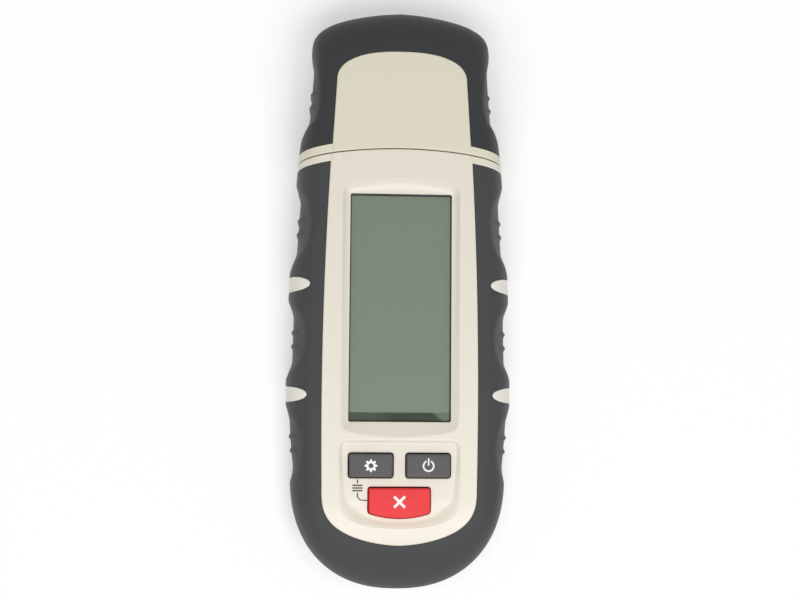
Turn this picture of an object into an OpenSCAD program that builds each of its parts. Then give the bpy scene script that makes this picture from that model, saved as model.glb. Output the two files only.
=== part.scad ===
// Hand-held pin moisture meter: a two-part case with soft grips, a display, three keys,
// a battery bay behind a hooked door, and a pull-off cap over two measuring needles.
// X is across the meter, Y runs from the butt to the cap, Z rises from the back to the face.

/* [Overall] */
// Length from the butt to the tip of the cap, which the moulded lengths along the meter share out
overall_length = 165; // [162:1:185]
// Thickness from the back to the face
overall_height = 26; // [26:0.5:30]
// Width over the widest crest of the grip
crest_width = 64; // [62:0.5:70]
// Width over the grip at the seam of the cap
seam_width = 58; // [56:0.5:61]
// Width over the grip where the round butt begins
hip_width = 61.6; // [58:0.2:64]
// Length of the round butt
butt_length = 30; // [27:0.5:34]
// Distance from the start of the butt to the widest crest
crest_rise = 26; // [20:1:36]
// How far the face rolls down towards the butt
butt_roll = 6; // [3:0.5:8]

/* [Case and grip] */
// Thickness of the hard case walls
wall = 2; // [1.6:0.1:2.4]
// Thickness of the wall that closes the case at the seam
end_wall = 4.6; // [4.2:0.1:5.4]
// Thickness of the soft grip
grip_thickness = 1.8; // [1.2:0.1:2.2]
// Width of the hard band on either side of the seam
band = 2.4; // [1.8:0.1:3.2]
// How far the seam bows towards the cap
seam_bow = 2.3; // [1:0.1:3]
// Roundness of the shoulders: 2 is elliptical, more is squarer
shoulder_power = 2.5; // [2:0.1:3.2]
// Gap between pieces that come apart
fit_gap = 0.3; // [0.2:0.05:0.4]

/* [Face panel] */
// Width of the bare face panel at the seam
panel_seam_width = 39.4; // [37:0.2:41]
// Width of the bare face panel where the butt begins
panel_hip_width = 43; // [41:0.2:45]
// Distance from the butt to the lower end of the panel
panel_margin = 13.4; // [12:0.2:15]
// Drop of the grip's edge below the panel
edge_drop = 0.3; // [0.2:0.05:0.5]

/* [Finger scallops] */
// Depth of the finger scallops
finger_depth = 1.5; // [0.8:0.1:2]
// Half length of a scallop
finger_half = 11.5; // [9:0.5:13]
// Distance between scallops
finger_pitch = 31.5; // [28:0.5:33]
// Distance from the start of the butt to the first scallop
finger_start = 9; // [8:0.5:12]
// Distance between the grooves in a scallop
groove_pitch = 3.3; // [2.8:0.1:3.6]
// Depth of the grooves
groove_depth = 0.4; // [0.2:0.05:0.6]
// Radius of the grooves
groove_radius = 1; // [0.8:0.1:1.2]
// Height of a hard inlay between two scallops, along the meter
inlay_length = 4.4; // [3:0.2:6]
// Depth of an inlay, from the crest towards the panel
inlay_depth = 5.8; // [4:0.2:7]
// How far an inlay lies below the middle between two scallops
inlay_offset = 1; // [0:0.1:1.6]

/* [Cap] */
// Length of the cap from the middle of the seam to the tip
cap_length = 41.7; // [40:0.5:50]
// Width of the cap below its round end
cap_width = 51.6; // [50:0.2:55]
// Length of the round end of the cap
cap_round = 16.5; // [14:0.5:19]
// Share of its thickness that the cap loses towards the tip
cap_taper = 0.14; // [0.05:0.01:0.18]
// Width of the bare tongue at the seam
tongue_seam_width = 39; // [37:0.2:41]
// Width of the bare tongue at its round end
tongue_width = 36.8; // [34:0.2:39]
// Distance from the seam to the round end of the tongue
tongue_straight = 19.2; // [16:0.2:21]
// Length of the round end of the tongue
tongue_round = 8.8; // [7:0.2:10]
// Thickness of the guide ribs inside the cap
guide_rib = 1.4; // [1:0.1:2]

/* [Display] */
// Width of the window
window_width = 28; // [26:0.5:29]
// Length of the window
window_length = 63; // [56:0.5:64]
// Distance from the seam to the window
window_start = 13; // [12.5:0.1:15]
// Depth of the dish around the window
dish_depth = 1.5; // [1:0.1:1.8]
// Slope of the dish at the sides of the window
dish_side = 2.4; // [1.5:0.1:3]
// Slope of the dish above and below the window
dish_end = 2.6; // [2:0.1:3]
// Bow of the upper and lower rim of the dish
dish_bow = 1.9; // [1:0.1:2.2]
// Thickness of the lens
lens_thickness = 1.2; // [0.8:0.1:1.3]
// Width of the ledge that carries the lens
ledge_width = 1.5; // [1:0.1:2]
// Thickness of the tape under the lens
tape_thickness = 0.2; // [0.1:0.05:0.3]
// Thickness of the liquid crystal cell
cell_glass = 2.2; // [1.8:0.1:2.4]
// Thickness of the light guide behind the cell
light_guide = 2.4; // [2:0.1:2.6]
// Thickness of the floor of the display holder
holder_floor = 0.7; // [0.5:0.1:0.9]

/* [Keys] */
// Width of the two upper keys
key_width = 12.2; // [10:0.2:13]
// Length of the two upper keys
key_length = 6.6; // [5.5:0.1:7]
// Distance between the middles of the upper keys
key_spacing = 15.8; // [14:0.1:16.2]
// Width of the lower key
clear_width = 17; // [14:0.2:19]
// Length of the lower key at its corners
clear_length = 7; // [6:0.1:7.4]
// Bow of the lower edge of the lower key
clear_bow = 1.3; // [0.6:0.1:1.6]
// Gap along the meter between the two rows of keys
key_row_gap = 2.6; // [2:0.1:3]
// Height of the keys above the face
key_rise = 0.9; // [0.6:0.1:1.4]
// Travel of a key
key_travel = 0.7; // [0.4:0.05:0.9]
// Gap around a key in its hole
key_gap = 0.25; // [0.15:0.05:0.35]
// Depth of the key field below the face
field_depth = 0.7; // [0.4:0.1:0.9]
// Width of the key field
field_width = 33.6; // [32:0.2:35]
// Gap along the meter between the window and the key field
field_start = 6.1; // [5.6:0.1:7]
// Distance from the upper rim of the key field to the upper keys
key_start = 2.9; // [2:0.1:3.2]
// Distance from the butt to the lower key
key_margin = 20.8; // [19:0.1:23]
// Length of the round lower end of the key field
field_round = 8.7; // [7:0.1:10]
// Gap along the meter between the lower key and the end of the key field
field_margin = 3; // [2.4:0.1:3.6]
// Thickness of the rubber sheet under the keys
sheet_thickness = 1.5; // [1.2:0.1:1.8]

/* [Electrodes] */
// Distance between the needles
needle_spacing = 26; // [25:0.5:28]
// Diameter of a needle
needle_diameter = 1.8; // [1.4:0.1:2.4]
// Length of needle that stands out of its nut
needle_length = 14.5; // [10:0.5:17]
// Outer diameter of the brass sockets
socket_diameter = 4.8; // [4:0.1:5.6]
// Width over the flats of the nuts
nut_width = 7; // [6:0.1:8]
// Thickness of the nuts
nut_thickness = 3.5; // [2.5:0.1:4.5]
// Width of the neck that the cap slides over
neck_width = 42; // [40:0.5:43]
// Height of the neck
neck_height = 16; // [14:0.5:17]
// Length of the neck past the seam
neck_length = 13; // [10:0.5:16]

/* [Battery bay] */
// Diameter of a cell
battery_diameter = 10.4; // [9.8:0.1:10.6]
// Length of a cell with its cap
battery_length = 44.5; // [43:0.1:45]
// Gap beside each cell
battery_gap = 0.4; // [0.3:0.05:0.6]
// Length of a pressed contact spring
spring_length = 4.2; // [3:0.1:5]
// Thickness of the contact plates
contact_thickness = 0.4; // [0.3:0.05:0.5]
// Distance from the start of the butt to the battery bay
bay_start = 0.5; // [0:0.5:4]
// Thickness of the walls of the bay
bay_wall = 1.2; // [1:0.1:1.5]
// Thickness of the battery door
door_thickness = 1.8; // [1.5:0.1:2]
// Length of the door past the bay, where its latch is
door_latch = 7.5; // [6:0.5:8.5]
// How far the hooks of the door reach under the case
hook_reach = 3; // [2:0.1:3.4]

/* [Board and screws] */
// Thickness of the circuit board
board_thickness = 1.6; // [1.2:0.1:1.8]
// Width of the circuit board
board_width = 44; // [43:0.5:46]
// Height of the board's upper face above the back
board_level = 16.6; // [16.4:0.1:17.4]
// Diameter of the case screws
case_screw = 2; // [1.8:0.1:2.4]
// Diameter of the heads of the case screws
case_head = 4.2; // [3.8:0.1:4.6]
// Diameter of the board screws
board_screw = 1.6; // [1.4:0.1:2]
// Diameter of the heads of the board screws
board_head = 3.4; // [3:0.1:3.6]

/* [Hidden] */
$fn = 48;

beige = "#ddd7c6";
charcoal = "#4a4a4c";
key_grey = "#5e5d60";
key_red = "#e8414a";

// A small overlap that keeps cutting tools clear of the faces that they cut
over = 1;
// Clearance of a pin or screw in a hole that holds it
close_fit = 0.02;

// The display is a bought part, so the moulded lengths along the meter share out what it leaves
stretch = (overall_length - window_length)
    / (cap_length + window_start + field_start + key_start + key_length + key_row_gap
        + clear_length + clear_bow + key_margin);
butt_run = butt_length * stretch;
crest_run = crest_rise * stretch;
panel_run = panel_margin * stretch;
finger_run = finger_half * stretch;
finger_step = finger_pitch * stretch;
finger_lead = finger_start * stretch;
groove_step = groove_pitch * stretch;
cap_run = cap_length * stretch;
cap_round_run = cap_round * stretch;
tongue_run = tongue_straight * stretch;
tongue_round_run = tongue_round * stretch;
window_lead = window_start * stretch;
field_lead = field_start * stretch;
key_lead = key_start * stretch;
key_run = key_length * stretch;
row_gap = key_row_gap * stretch;
clear_run = clear_length * stretch;
clear_bow_run = clear_bow * stretch;
field_round_run = field_round * stretch;
field_margin_run = field_margin * stretch;
neck_run = neck_length * stretch;
needle_run = needle_length * stretch;

// Places along the meter
y_butt = -overall_length / 2;
y_tip = overall_length / 2;
y_hip = y_butt + butt_run;
y_crest = y_hip + crest_run;
y_seam = y_tip - cap_run;
y_inner_end = y_seam - end_wall;
y_window_top = y_seam - window_lead;
y_window_end = y_window_top - window_length;
y_window = (y_window_top + y_window_end) / 2;
y_field = y_window_end - field_lead;
y_keys = y_field - key_lead - key_run / 2;
y_clear_top = y_keys - key_run / 2 - row_gap;
y_bay = y_hip + bay_start;
y_neck = y_seam + neck_run;

// Heights above the back
z_mid = overall_height / 2;
z_face = overall_height;
z_lens = z_face - dish_depth;
z_ledge = z_lens - lens_thickness - tape_thickness;
z_holder_floor = board_level + holder_floor;
z_cell_glass = z_holder_floor + light_guide;
z_holder_top = z_cell_glass + cell_glass;
z_ledge_under = z_holder_top + 0.2;
z_board_under = board_level - board_thickness;

// The round seam, a large circle seen from above
seam_radius = (seam_width * seam_width / 4 + seam_bow * seam_bow) / (2 * seam_bow);
// Distance below the seam's middle over which the stations straighten out
bow_fade = 12;

// Start of the roll of the face, and the shapes of the round ends
roll_length = 25.5;
y_roll = y_butt + roll_length * stretch;
butt_power = 2.75;
butt_side_power = 1.62;
panel_power = 3;
cap_power = 2.35;
cap_side_power = 3.3;
tongue_power = 2.5;
finger_ease = 0.42;
panel_edge = 0.4;

// Steps of the lofted shells
side_steps = 34;
butt_steps = 10;
cap_steps = 13;
cap_end_steps = 9;
shoulder_steps = 5;
// Last angle of a round end, just short of the middle
last_angle = 88;

// Case screws, from the back, and board screws, from the board's under side
case_boss = case_screw + 3.2;
sheet_margin = 1.6;
tongue_half_width = clear_width / 2 + sheet_margin;
boss_gap = 0.5;
low_screw_x = tongue_half_width + boss_gap + case_boss / 2;
high_screw_x = 16.8;
high_screw_inset = 2;
counterbore = case_head + 0.4;
head_height = 2.2;
board_boss = board_screw + 2.4;
board_screw_x = board_width / 2 - 2;
board_screw_places = [
    for (side = [-1, 1]) [side * board_screw_x, y_window_top - 2.8],
    for (side = [-1, 1]) [side * board_screw_x, y_window_end - 4.4]
];
board_head_height = 1.4;
board_inset = 5;
board_drop = 7.4;
board_top = y_inner_end - board_inset;
board_end = y_hip - board_drop;
sheet_end = y_clear_top - clear_run - clear_bow_run - sheet_margin;

// The battery bay and its door
cells = 3;
cell_pitch = battery_diameter + battery_gap;
bay_width = cells * cell_pitch + battery_gap;
contact_gap = 0.1;
bay_length = battery_length + spring_length + 2 * contact_thickness + 6 * contact_gap;
bay_top = y_bay + bay_length;
door_inset = 0.2;
door_top = door_inset + door_thickness;
cell_level = door_top + 0.4 + battery_diameter / 2;
bay_roof = cell_level + battery_diameter / 2 + 0.3;
door_side = bay_width / 2 + 1.6;
door_end = y_bay - door_latch;
y_hinge = bay_top + 2.2;
y_hinge_axis = y_hinge - door_thickness / 2;
z_hinge_axis = door_inset + door_thickness / 2;
ledge_thickness = 1.2;
ledge_margin = 2;
counterbore_margin = 1;
case_screw_places = [
    for (side = [-1, 1]) [side * high_screw_x, y_inner_end - high_screw_inset],
    for (side = [-1, 1])
        [side * low_screw_x, door_end - fit_gap - counterbore_margin - counterbore / 2]
];
head_seat = 6;
hook_places = [-8.5, 8.5];
hook_width = 5;
hook_thickness = 1.2;
hook_height = 1.1;
hook_gap = 0.15;
hook_swing = 4;

// The electrode head and the cap's cavity
neck_corner = 4;
cap_clearance = fit_gap;
tail_width = needle_spacing - 2.4;
tail_lip = 1.4;
socket_start = y_inner_end + 1.3;
cap_end_wall = 7;
cavity_depth = cap_run - cap_end_wall;

function lerp(a, b, t) = a + (b - a) * t;
function unit(v) = v / norm(v);
function smooth(t) = let (u = min(max(t, 0), 1)) u * u * (3 - 2 * u);
function reverse(list) = [for (i = [len(list) - 1 : -1 : 0]) list[i]];
function quad(a, b, c, d) = [[a, b, c], [a, c, d]];
function quad_back(a, b, c, d) = [[a, b, d], [b, c, d]];

// How far the seam has fallen back at a distance x from the middle
function seam_drop(x) = seam_radius - sqrt(seam_radius * seam_radius - x * x);

// Half the thickness at y, on the face (side 1) or on the back (side -1)
function half_height(y, side) =
    y > y_seam ? z_mid * (1 - cap_taper * (y - y_seam) / cap_run)
    : side > 0 && y < y_roll ? z_mid - butt_roll * pow((y_roll - y) / (y_roll - y_butt), 2)
    : z_mid;

// Half the width of the grip over its crests
function crest_half(y) =
    y > y_crest
    ? crest_width / 2 - (crest_width - seam_width) / 2 * pow((y - y_crest) / (y_seam - y_crest), 2)
    : crest_width / 2 - (crest_width - hip_width) / 2 * pow((y_crest - y) / (y_crest - y_hip), 2);

// Share of the scallop's depth at y, for a scallop around a place
function scallop(y, place) = smooth((1 - abs(y - place) / finger_run) / finger_ease);
function finger_place(k) = y_hip + finger_lead + k * finger_step;
function inlay_place(k) = (finger_place(k) + finger_place(k + 1)) / 2 - inlay_offset * stretch;
function body_half(y) =
    crest_half(y) - finger_depth * max([for (k = [0 : 2]) scallop(y, finger_place(k))]);
function panel_half(y) =
    panel_hip_width / 2
    - (panel_hip_width - panel_seam_width) / 2 * pow((y - y_hip) / (y_seam - y_hip), 2);

// A quarter of a superellipse, from its side (angle 0) to its end (angle 90). A second power
// makes its side fuller or leaner than its end
function round_end(half, length, power, angle, side_power) =
    let (along = is_undef(side_power) ? power : side_power)
    [half * pow(cos(angle), 2 / power), length * pow(sin(angle), 2 / along)];

// A station is a point of the outline, the point of the panel's edge that faces it, and the
// direction in which walls are set in
function bow_share(distance) = min(1, max(0, 1 - distance / bow_fade));
function body_station(s) =
    let (
        bow = bow_share(y_seam - band - s),
        yo = s - bow * seam_drop(seam_width / 2),
        yp = s - bow * seam_drop(panel_seam_width / 2)
    )
    [[body_half(yo), yo], [panel_half(yp), yp], unit([-1, -0.12 * bow])];
function butt_station(angle) =
    let (
        o = round_end(hip_width / 2, butt_run, butt_power, angle, butt_side_power),
        p = round_end(panel_hip_width / 2, butt_run - panel_run, panel_power, angle)
    )
    facing([o.x, y_hip - o.y], [p.x, y_hip - p.y]);
function facing(o, p) = [o, p, unit(p - o)];
function straight_station(y) = [[body_half(y), y], [panel_half(y), y], [-1, 0]];

grip_stations = concat(
    [for (i = [0 : side_steps]) body_station(lerp(y_seam - band, y_hip, i / side_steps))],
    [for (i = [1 : butt_steps]) butt_station(last_angle * i / butt_steps)]
);
band_stations = [straight_station(y_seam + over), body_station(y_seam - band)];

// The cap's outline and tongue
cap_shoulder = y_tip - cap_round_run;
cap_finger_start = 16.2;
cap_finger = y_seam + cap_finger_start * stretch;
y_tongue = y_seam + tongue_run;
function cap_outline(half, y) = [half - finger_depth * scallop(y, cap_finger), y];
function cap_side_half(y) = lerp(seam_width, cap_width, (y - y_seam) / (cap_shoulder - y_seam)) / 2;
function tongue_half(y) = lerp(tongue_seam_width, tongue_width, (y - y_seam) / tongue_run) / 2;
function cap_station(t) =
    let (
        start = y_seam + band,
        bow = 1 - smooth(t * (cap_shoulder - start) / bow_fade),
        yo = lerp(start, cap_shoulder, t) - bow * seam_drop(seam_width / 2),
        yp = lerp(start, y_tongue, t) - bow * seam_drop(tongue_seam_width / 2)
    )
    facing(cap_outline(cap_side_half(yo), yo), [tongue_half(yp), yp]);
function cap_end_station(angle) =
    let (
        o = round_end(cap_width / 2, cap_round_run, cap_power, angle, cap_side_power),
        p = round_end(tongue_width / 2, tongue_round_run, tongue_power, angle)
    )
    facing(cap_outline(o.x, cap_shoulder + o.y), [p.x, y_tongue + p.y]);
function cap_rim_station(y) = facing(cap_outline(cap_side_half(y), y), [tongue_half(y), y]);

cap_stations = concat(
    [for (i = [0 : cap_steps]) cap_station(i / cap_steps)],
    [for (i = [1 : cap_end_steps]) cap_end_station(last_angle * i / cap_end_steps)]
);
cap_band_stations = [cap_rim_station(y_seam - seam_bow - over), cap_station(0)];

// A shoulder runs from an outline point at half height to a panel point, as a superellipse
function shoulder_point(o, p, side, drop, angle) =
    let (
        power = 2 / shoulder_power,
        q = lerp(o, p, 1 - pow(cos(angle), power)),
        rise = (half_height(q.y, side) - drop) * pow(sin(angle), power)
    )
    [q.x, q.y, z_mid + side * rise];
function shoulder(o, p, side, drop, steps) =
    [for (j = [0 : steps]) shoulder_point(o, p, side, drop, 90 * j / steps)];
function inset(station, distance) = station[0] + station[2] * distance;
function panel_inset(station, distance) = station[1] + station[2] * distance;
function at_height(q, side, drop) = [q.x, q.y, z_mid + side * (half_height(q.y, side) - drop)];

// The outer skin, the hard core under the grip, and the edge of the panel
function skin(st, side) = shoulder(st[0], st[1], side, edge_drop, shoulder_steps + 1);
function core(st, side) =
    shoulder(inset(st, grip_thickness), st[1], side, edge_drop + grip_thickness, shoulder_steps);
function panel_rim(st, side) = at_height(panel_inset(st, panel_edge), side, 0);
function band_curve(st, side) = concat(skin(st, side), [panel_rim(st, side)]);
function case_curve(st, side) =
    concat(core(st, side), [at_height(st[1], side, edge_drop), panel_rim(st, side)]);
function cavity_curve(st, side) =
    let (
        o = inset(st, grip_thickness + wall),
        p = panel_inset(st, wall)
    )
    concat([[o.x, o.y, z_mid - side * over]], shoulder(o, p, side, wall, 3));

// Joins a curve on the back to the curve on the face, at half height
function both_sides(back, face) =
    concat([for (j = [len(back) - 1 : -1 : 1]) back[j]], face);

// Points and faces of lofts that are symmetric about the plane x = 0
function mirrored(points) = [for (q = points) [-q.x, q.y, q.z]];
function turned(faces, turn) = turn ? [for (f = faces) reverse(f)] : faces;

// A solid whose curves run from one flat side, around the outside, to the other
module lofted_body(curves, turn = false) {
    n = len(curves);
    m = len(curves[0]);
    right = [for (c = curves) for (q = c) q];
    l = n * m;
    sides = [
        for (i = [0 : n - 2]) for (j = [0 : m - 2])
            let (a = i * m + j, b = a + m)
            each concat(quad(a, b, b + 1, a + 1), [for (f = quad(a, b, b + 1, a + 1)) reverse(f) + [l, l, l]])
    ];
    rungs = [
        for (i = [0 : n - 2])
            let (a = i * m, b = a + m, t = a + m - 1, u = b + m - 1)
            each [[a, l + a, l + b, b], [t, u, l + u, l + t]]
    ];
    ends = [
        for (j = [0 : m - 2])
            let (a = j, b = (n - 1) * m + j)
            each [[a, a + 1, l + a + 1, l + a], [b, l + b, l + b + 1, b + 1]]
    ];
    polyhedron(concat(right, mirrored(right)), turned(concat(sides, rungs, ends), turn), convexity = 8);
}

// A bent bar whose closed sections have an outer run and an inner run of points
module lofted_grip(outers, inners, turn = false) {
    n = len(outers);
    mo = len(outers[0]);
    mi = len(inners[0]);
    m = mo + mi;
    skew = mo - mi == 2 ? 1 : 0;
    right = [for (i = [0 : n - 1]) for (q = concat(outers[i], reverse(inners[i]))) q];
    l = n * m;
    function next(j) = (j + 1) % m;
    function inner_index(k) = m - 1 - min(max(k, 0), mi - 1);
    function strip(i, j) =
        let (a = i * m + j, b = a + m, c = (i + 1) * m + next(j), d = i * m + next(j))
        j < mo - 1 ? quad(a, b, c, d) : quad_back(a, b, c, d);
    sides = [
        for (i = [0 : n - 2]) for (j = [0 : m - 1])
            each concat(strip(i, j), [for (f = strip(i, j)) reverse(f) + [l, l, l]])
    ];
    bridge = [
        for (j = [0 : m - 1])
            let (a = (n - 1) * m + j, b = (n - 1) * m + next(j))
            [a, l + a, l + b, b]
    ];
    ends = [
        for (j = [0 : mo - 2])
            let (
                b0 = inner_index(j - skew),
                b1 = inner_index(j + 1 - skew),
                tris = b0 == b1 ? [[j, j + 1, b1]] : [[j, j + 1, b1], [j, b1, b0]]
            )
            each concat(tris, [for (f = tris) reverse(f) + [l, l, l]])
    ];
    polyhedron(concat(right, mirrored(right)), turned(concat(sides, bridge, ends), turn), convexity = 8);
}

// Everything on the butt's side of the seam, or within a distance of it
module below_seam(offset = 0) {
    translate([0, y_seam - seam_radius, -over])
        cylinder(r = seam_radius + offset, h = overall_height + 2 * over, $fn = 256);
}

// The outlines of the inlays between the scallops, seen from above
module inlay_columns() {
    for (k = [0, 1], side = [-1, 1]) {
        y = inlay_place(k);
        translate([side * crest_half(y), y, -over])
            linear_extrude(overall_height + 2 * over)
                polygon([
                    for (a = [0 : 15 : 345])
                        [inlay_depth * cos(a), inlay_length / 2 * sin(a)]
                ]);
    }
}

// The hard lands that fill the windows of the grip, from inside the wall out to the skin
module inlay_lands(side) {
    intersection() {
        for (k = [0, 1]) {
            y = inlay_place(k);
            near = [for (st = grip_stations) if (abs(st[0].y - y) < inlay_length / 2 + 4) st];
            lofted_body([for (st = near) band_curve(st, side)], side < 0);
        }
        inlay_columns();
    }
}

// Upright cutters whose inner sides leave grooves in the scallops
module groove_cutters(places, half_at) {
    for (place = places, j = [-2 : 2], side = [-1, 1]) {
        y = place + j * groove_step;
        translate([side * (half_at(y) + groove_radius - groove_depth), y, -over])
            cylinder(r = groove_radius, h = overall_height + 2 * over);
    }
}

// One half of the case's closed outside: side 1 is the face, side -1 the back
module case_outside(side) {
    intersection() {
        lofted_body(
            concat(
                [for (st = band_stations) band_curve(st, side)],
                [for (st = grip_stations) case_curve(st, side)]
            ),
            side < 0
        );
        below_seam();
    }
}

module case_cavity(side) {
    lofted_body(
        concat(
            [cavity_curve(straight_station(y_inner_end), side)],
            [
                for (i = [6 : 3 : len(grip_stations) - 1])
                    cavity_curve(grip_stations[i], side)
            ]
        ),
        side < 0
    );
}

module whole_grip(side) {
    lofted_grip(
        [for (st = grip_stations) skin(st, side)],
        [for (st = grip_stations) core(st, side)],
        side < 0
    );
}

// A plate with rounded corners, centred on x and on the middle of its thickness
module rounded_bar(width, height, length, corner) {
    rotate([-90, 0, 0])
        linear_extrude(length)
            rounded_rect(width, height, corner);
}

module rounded_rect(width, height, corner) {
    square([width - 2 * corner, height], center = true);
    square([width, height - 2 * corner], center = true);
    for (sx = [-1, 1], sy = [-1, 1])
        translate([sx * (width / 2 - corner), sy * (height / 2 - corner)])
            circle(corner);
}

// Rim of the dish around the window: straight sides, bowed ends
module dish_rim() {
    half = window_width / 2 + dish_side;
    reach = window_length / 2 + dish_end;
    polygon(concat(
        [for (t = [-1 : 0.25 : 1]) [half * t, reach + dish_bow * (1 - t * t)]],
        [for (t = [1 : -0.25 : -1]) [half * t, -reach - dish_bow * (1 - t * t)]]
    ));
}

// The window is cut by a dish, a pocket for the lens and an opening inside the ledge
module window_cut() {
    dish_corner = 1.6;
    translate([0, y_window, 0]) {
        hull() {
            translate([0, 0, z_face])
                linear_extrude(over)
                    offset(r = dish_corner, $fn = 24)
                        offset(delta = -dish_corner)
                            dish_rim();
            translate([0, 0, z_lens])
                linear_extrude(0.01)
                    square([window_width, window_length], center = true);
        }
        translate([-window_width / 2, -window_length / 2, z_ledge])
            cube([window_width, window_length, z_face - z_ledge]);
        translate([-window_width / 2 + ledge_width, -window_length / 2 + ledge_width, z_mid])
            cube([window_width - 2 * ledge_width, window_length - 2 * ledge_width, z_face]);
    }
}

// Outline of the key field, with a straight upper rim and a round lower end
field_length = key_lead + key_run + row_gap + clear_run + clear_bow_run + field_margin_run;
field_straight = field_length - field_round_run;
field_power = 2.6;
module field_rim(grow) {
    half = field_width / 2 + grow;
    corner = 2;
    arc = [for (a = [0 : 10 : 90]) round_end(half, field_round_run + grow, field_power, a)];
    offset(r = corner, $fn = 24)
        offset(delta = -corner)
            polygon(concat(
                [[half, grow]],
                [for (q = arc) [q.x, -field_straight - q.y]],
                [for (q = reverse(arc)) [-q.x, -field_straight - q.y]],
                [[-half, grow]]
            ));
}

module field_cut() {
    field_slope = 0.7;
    translate([0, y_field, 0])
        hull() {
            translate([0, 0, z_face])
                linear_extrude(over)
                    field_rim(0);
            translate([0, 0, z_face - field_depth])
                linear_extrude(0.01)
                    field_rim(-field_slope);
        }
}

// Outlines of the keys, seen from above, grown for their holes and skirts
module upper_key_outline(grow = 0) {
    rounded_rect(key_width + 2 * grow, key_run + 2 * grow, 0.9 + max(grow, 0));
}

module clear_key_outline(grow = 0) {
    half = clear_width / 2 + grow;
    bow_radius = (half * half + clear_bow_run * clear_bow_run) / (2 * clear_bow_run);
    corner = 0.9;
    translate([0, grow])
        intersection() {
            translate([0, -(clear_run + clear_bow_run + 2 * grow) / 2])
                rounded_rect(2 * half, clear_run + clear_bow_run + 2 * grow, corner);
            translate([0, bow_radius - clear_run - clear_bow_run - 2 * grow])
                circle(bow_radius, $fn = 256);
        }
}

module at_key(name) {
    place = name == "clear" ? [0, y_clear_top, 0]
        : [(name == "set" ? -1 : 1) * key_spacing / 2, y_keys, 0];
    translate(place)
        children();
}

module key_outline(name, grow = 0) {
    if (name == "clear")
        clear_key_outline(grow);
    else
        upper_key_outline(grow);
}

key_names = ["set", "mode", "clear"];
sheet_web = 0.4;
skirt_gap = 0.3;
key_skirt = (row_gap - sheet_web) / 2 - skirt_gap;
skirt_height = 1.2;
pill_thickness = 0.6;
contact_clearance = 0.1;
z_pill = board_level + key_travel + contact_clearance;
z_key = z_pill + pill_thickness;
key_bevel = 0.5;

module front_case() {
    color(beige)
        difference() {
            union() {
                difference() {
                    case_outside(1);
                    case_cavity(1);
                }
                inlay_lands(1);
                display_frame();
                for (place = case_screw_places)
                    translate([place.x, place.y, z_mid])
                        cylinder(d = case_boss, h = z_face - wall - z_mid - boss_drop(place));
                for (place = board_screw_places)
                    translate([place.x, place.y, board_level])
                        cylinder(d = board_boss, h = z_face - wall - board_level);
            }
            window_cut();
            field_cut();
            for (name = key_names)
                at_key(name)
                    translate([0, 0, z_mid])
                        linear_extrude(z_face)
                            key_outline(name, key_gap);
            neck_opening();
            for (place = case_screw_places)
                translate([place.x, place.y, z_mid - over])
                    cylinder(d = case_screw + 2 * close_fit, h = pilot_depth + over);
            for (place = board_screw_places)
                translate([place.x, place.y, board_level - over])
                    cylinder(d = board_screw + 2 * close_fit, h = board_pilot + over);
        }
}

pilot_depth = 7.5;
board_pilot = 5;
pilot_gap = 0.5;
// A boss under the rolled part of the face stops short of its outside
function boss_drop(place) = z_mid - half_height(place.y, 1);

// The thick rim behind the window, which carries the lens
module display_frame() {
    rim = 3.4;
    translate([-window_width / 2 - rim, y_window_end - rim, z_ledge_under])
        cube([window_width + 2 * rim, window_length + 2 * rim, z_face - wall / 2 - z_ledge_under]);
}

// The hole in the end of the case that the electrode head sits in
module neck_opening() {
    translate([0, y_inner_end - 0.2, z_mid])
        rounded_bar(neck_width + fit_gap, neck_height + fit_gap, end_wall + 2 * over, neck_corner);
}

module rear_case() {
    color(beige)
        difference() {
            union() {
                difference() {
                    case_outside(-1);
                    case_cavity(-1);
                }
                inlay_lands(-1);
                for (place = case_screw_places)
                    translate([place.x, place.y, 0.95 * wall])
                        cylinder(d = case_head + 2.4, h = z_mid - 0.95 * wall);
                bay_box();
            }
            bay_hollow();
            neck_opening();
            for (place = case_screw_places)
                translate([place.x, place.y, -over]) {
                    cylinder(d = counterbore, h = head_seat + over);
                    cylinder(d = case_screw + 0.6, h = overall_height);
                }
        }
}

// The walls of the battery bay and the ledge that the door closes against
module bay_box() {
    half = bay_width / 2 + bay_wall;
    translate([-half, y_bay - bay_wall, wall / 2])
        cube([2 * half, bay_length + 2 * bay_wall, bay_roof + bay_wall - wall / 2]);
    translate([-door_side - ledge_margin, door_end - ledge_margin, wall / 2])
        cube([
            2 * (door_side + ledge_margin),
            y_hinge + hook_reach - door_end + ledge_margin,
            door_top + ledge_thickness - wall / 2
        ]);
}

module bay_hollow() {
    translate([-bay_width / 2, y_bay, -over])
        cube([bay_width, bay_length, bay_roof + over]);
    translate([-door_side - fit_gap, door_end - fit_gap, -over])
        cube([2 * (door_side + fit_gap), y_hinge - door_end + 2 * fit_gap, door_top + 0.05 + over]);
    for (x = hook_places)
        translate([x - hook_width / 2 - fit_gap, bay_top - over, wall])
            cube([hook_width + 2 * fit_gap, y_hinge + hook_reach + 2 * fit_gap - bay_top + over, hook_swing]);
    latch_notch();
}

// The hollow for a fingertip beside the latch of the door
module latch_notch() {
    translate([0, door_end - fit_gap, -2.2])
        sphere(r = 4.4);
}

module body_grooves() {
    groove_cutters([for (k = [0 : 2]) finger_place(k)], function (y) body_half(y));
}

module front_grip() {
    color(charcoal)
        difference() {
            whole_grip(1);
            inlay_columns();
            body_grooves();
        }
}

module rear_grip() {
    color(charcoal)
        difference() {
            whole_grip(-1);
            inlay_columns();
            body_grooves();
        }
}

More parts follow.
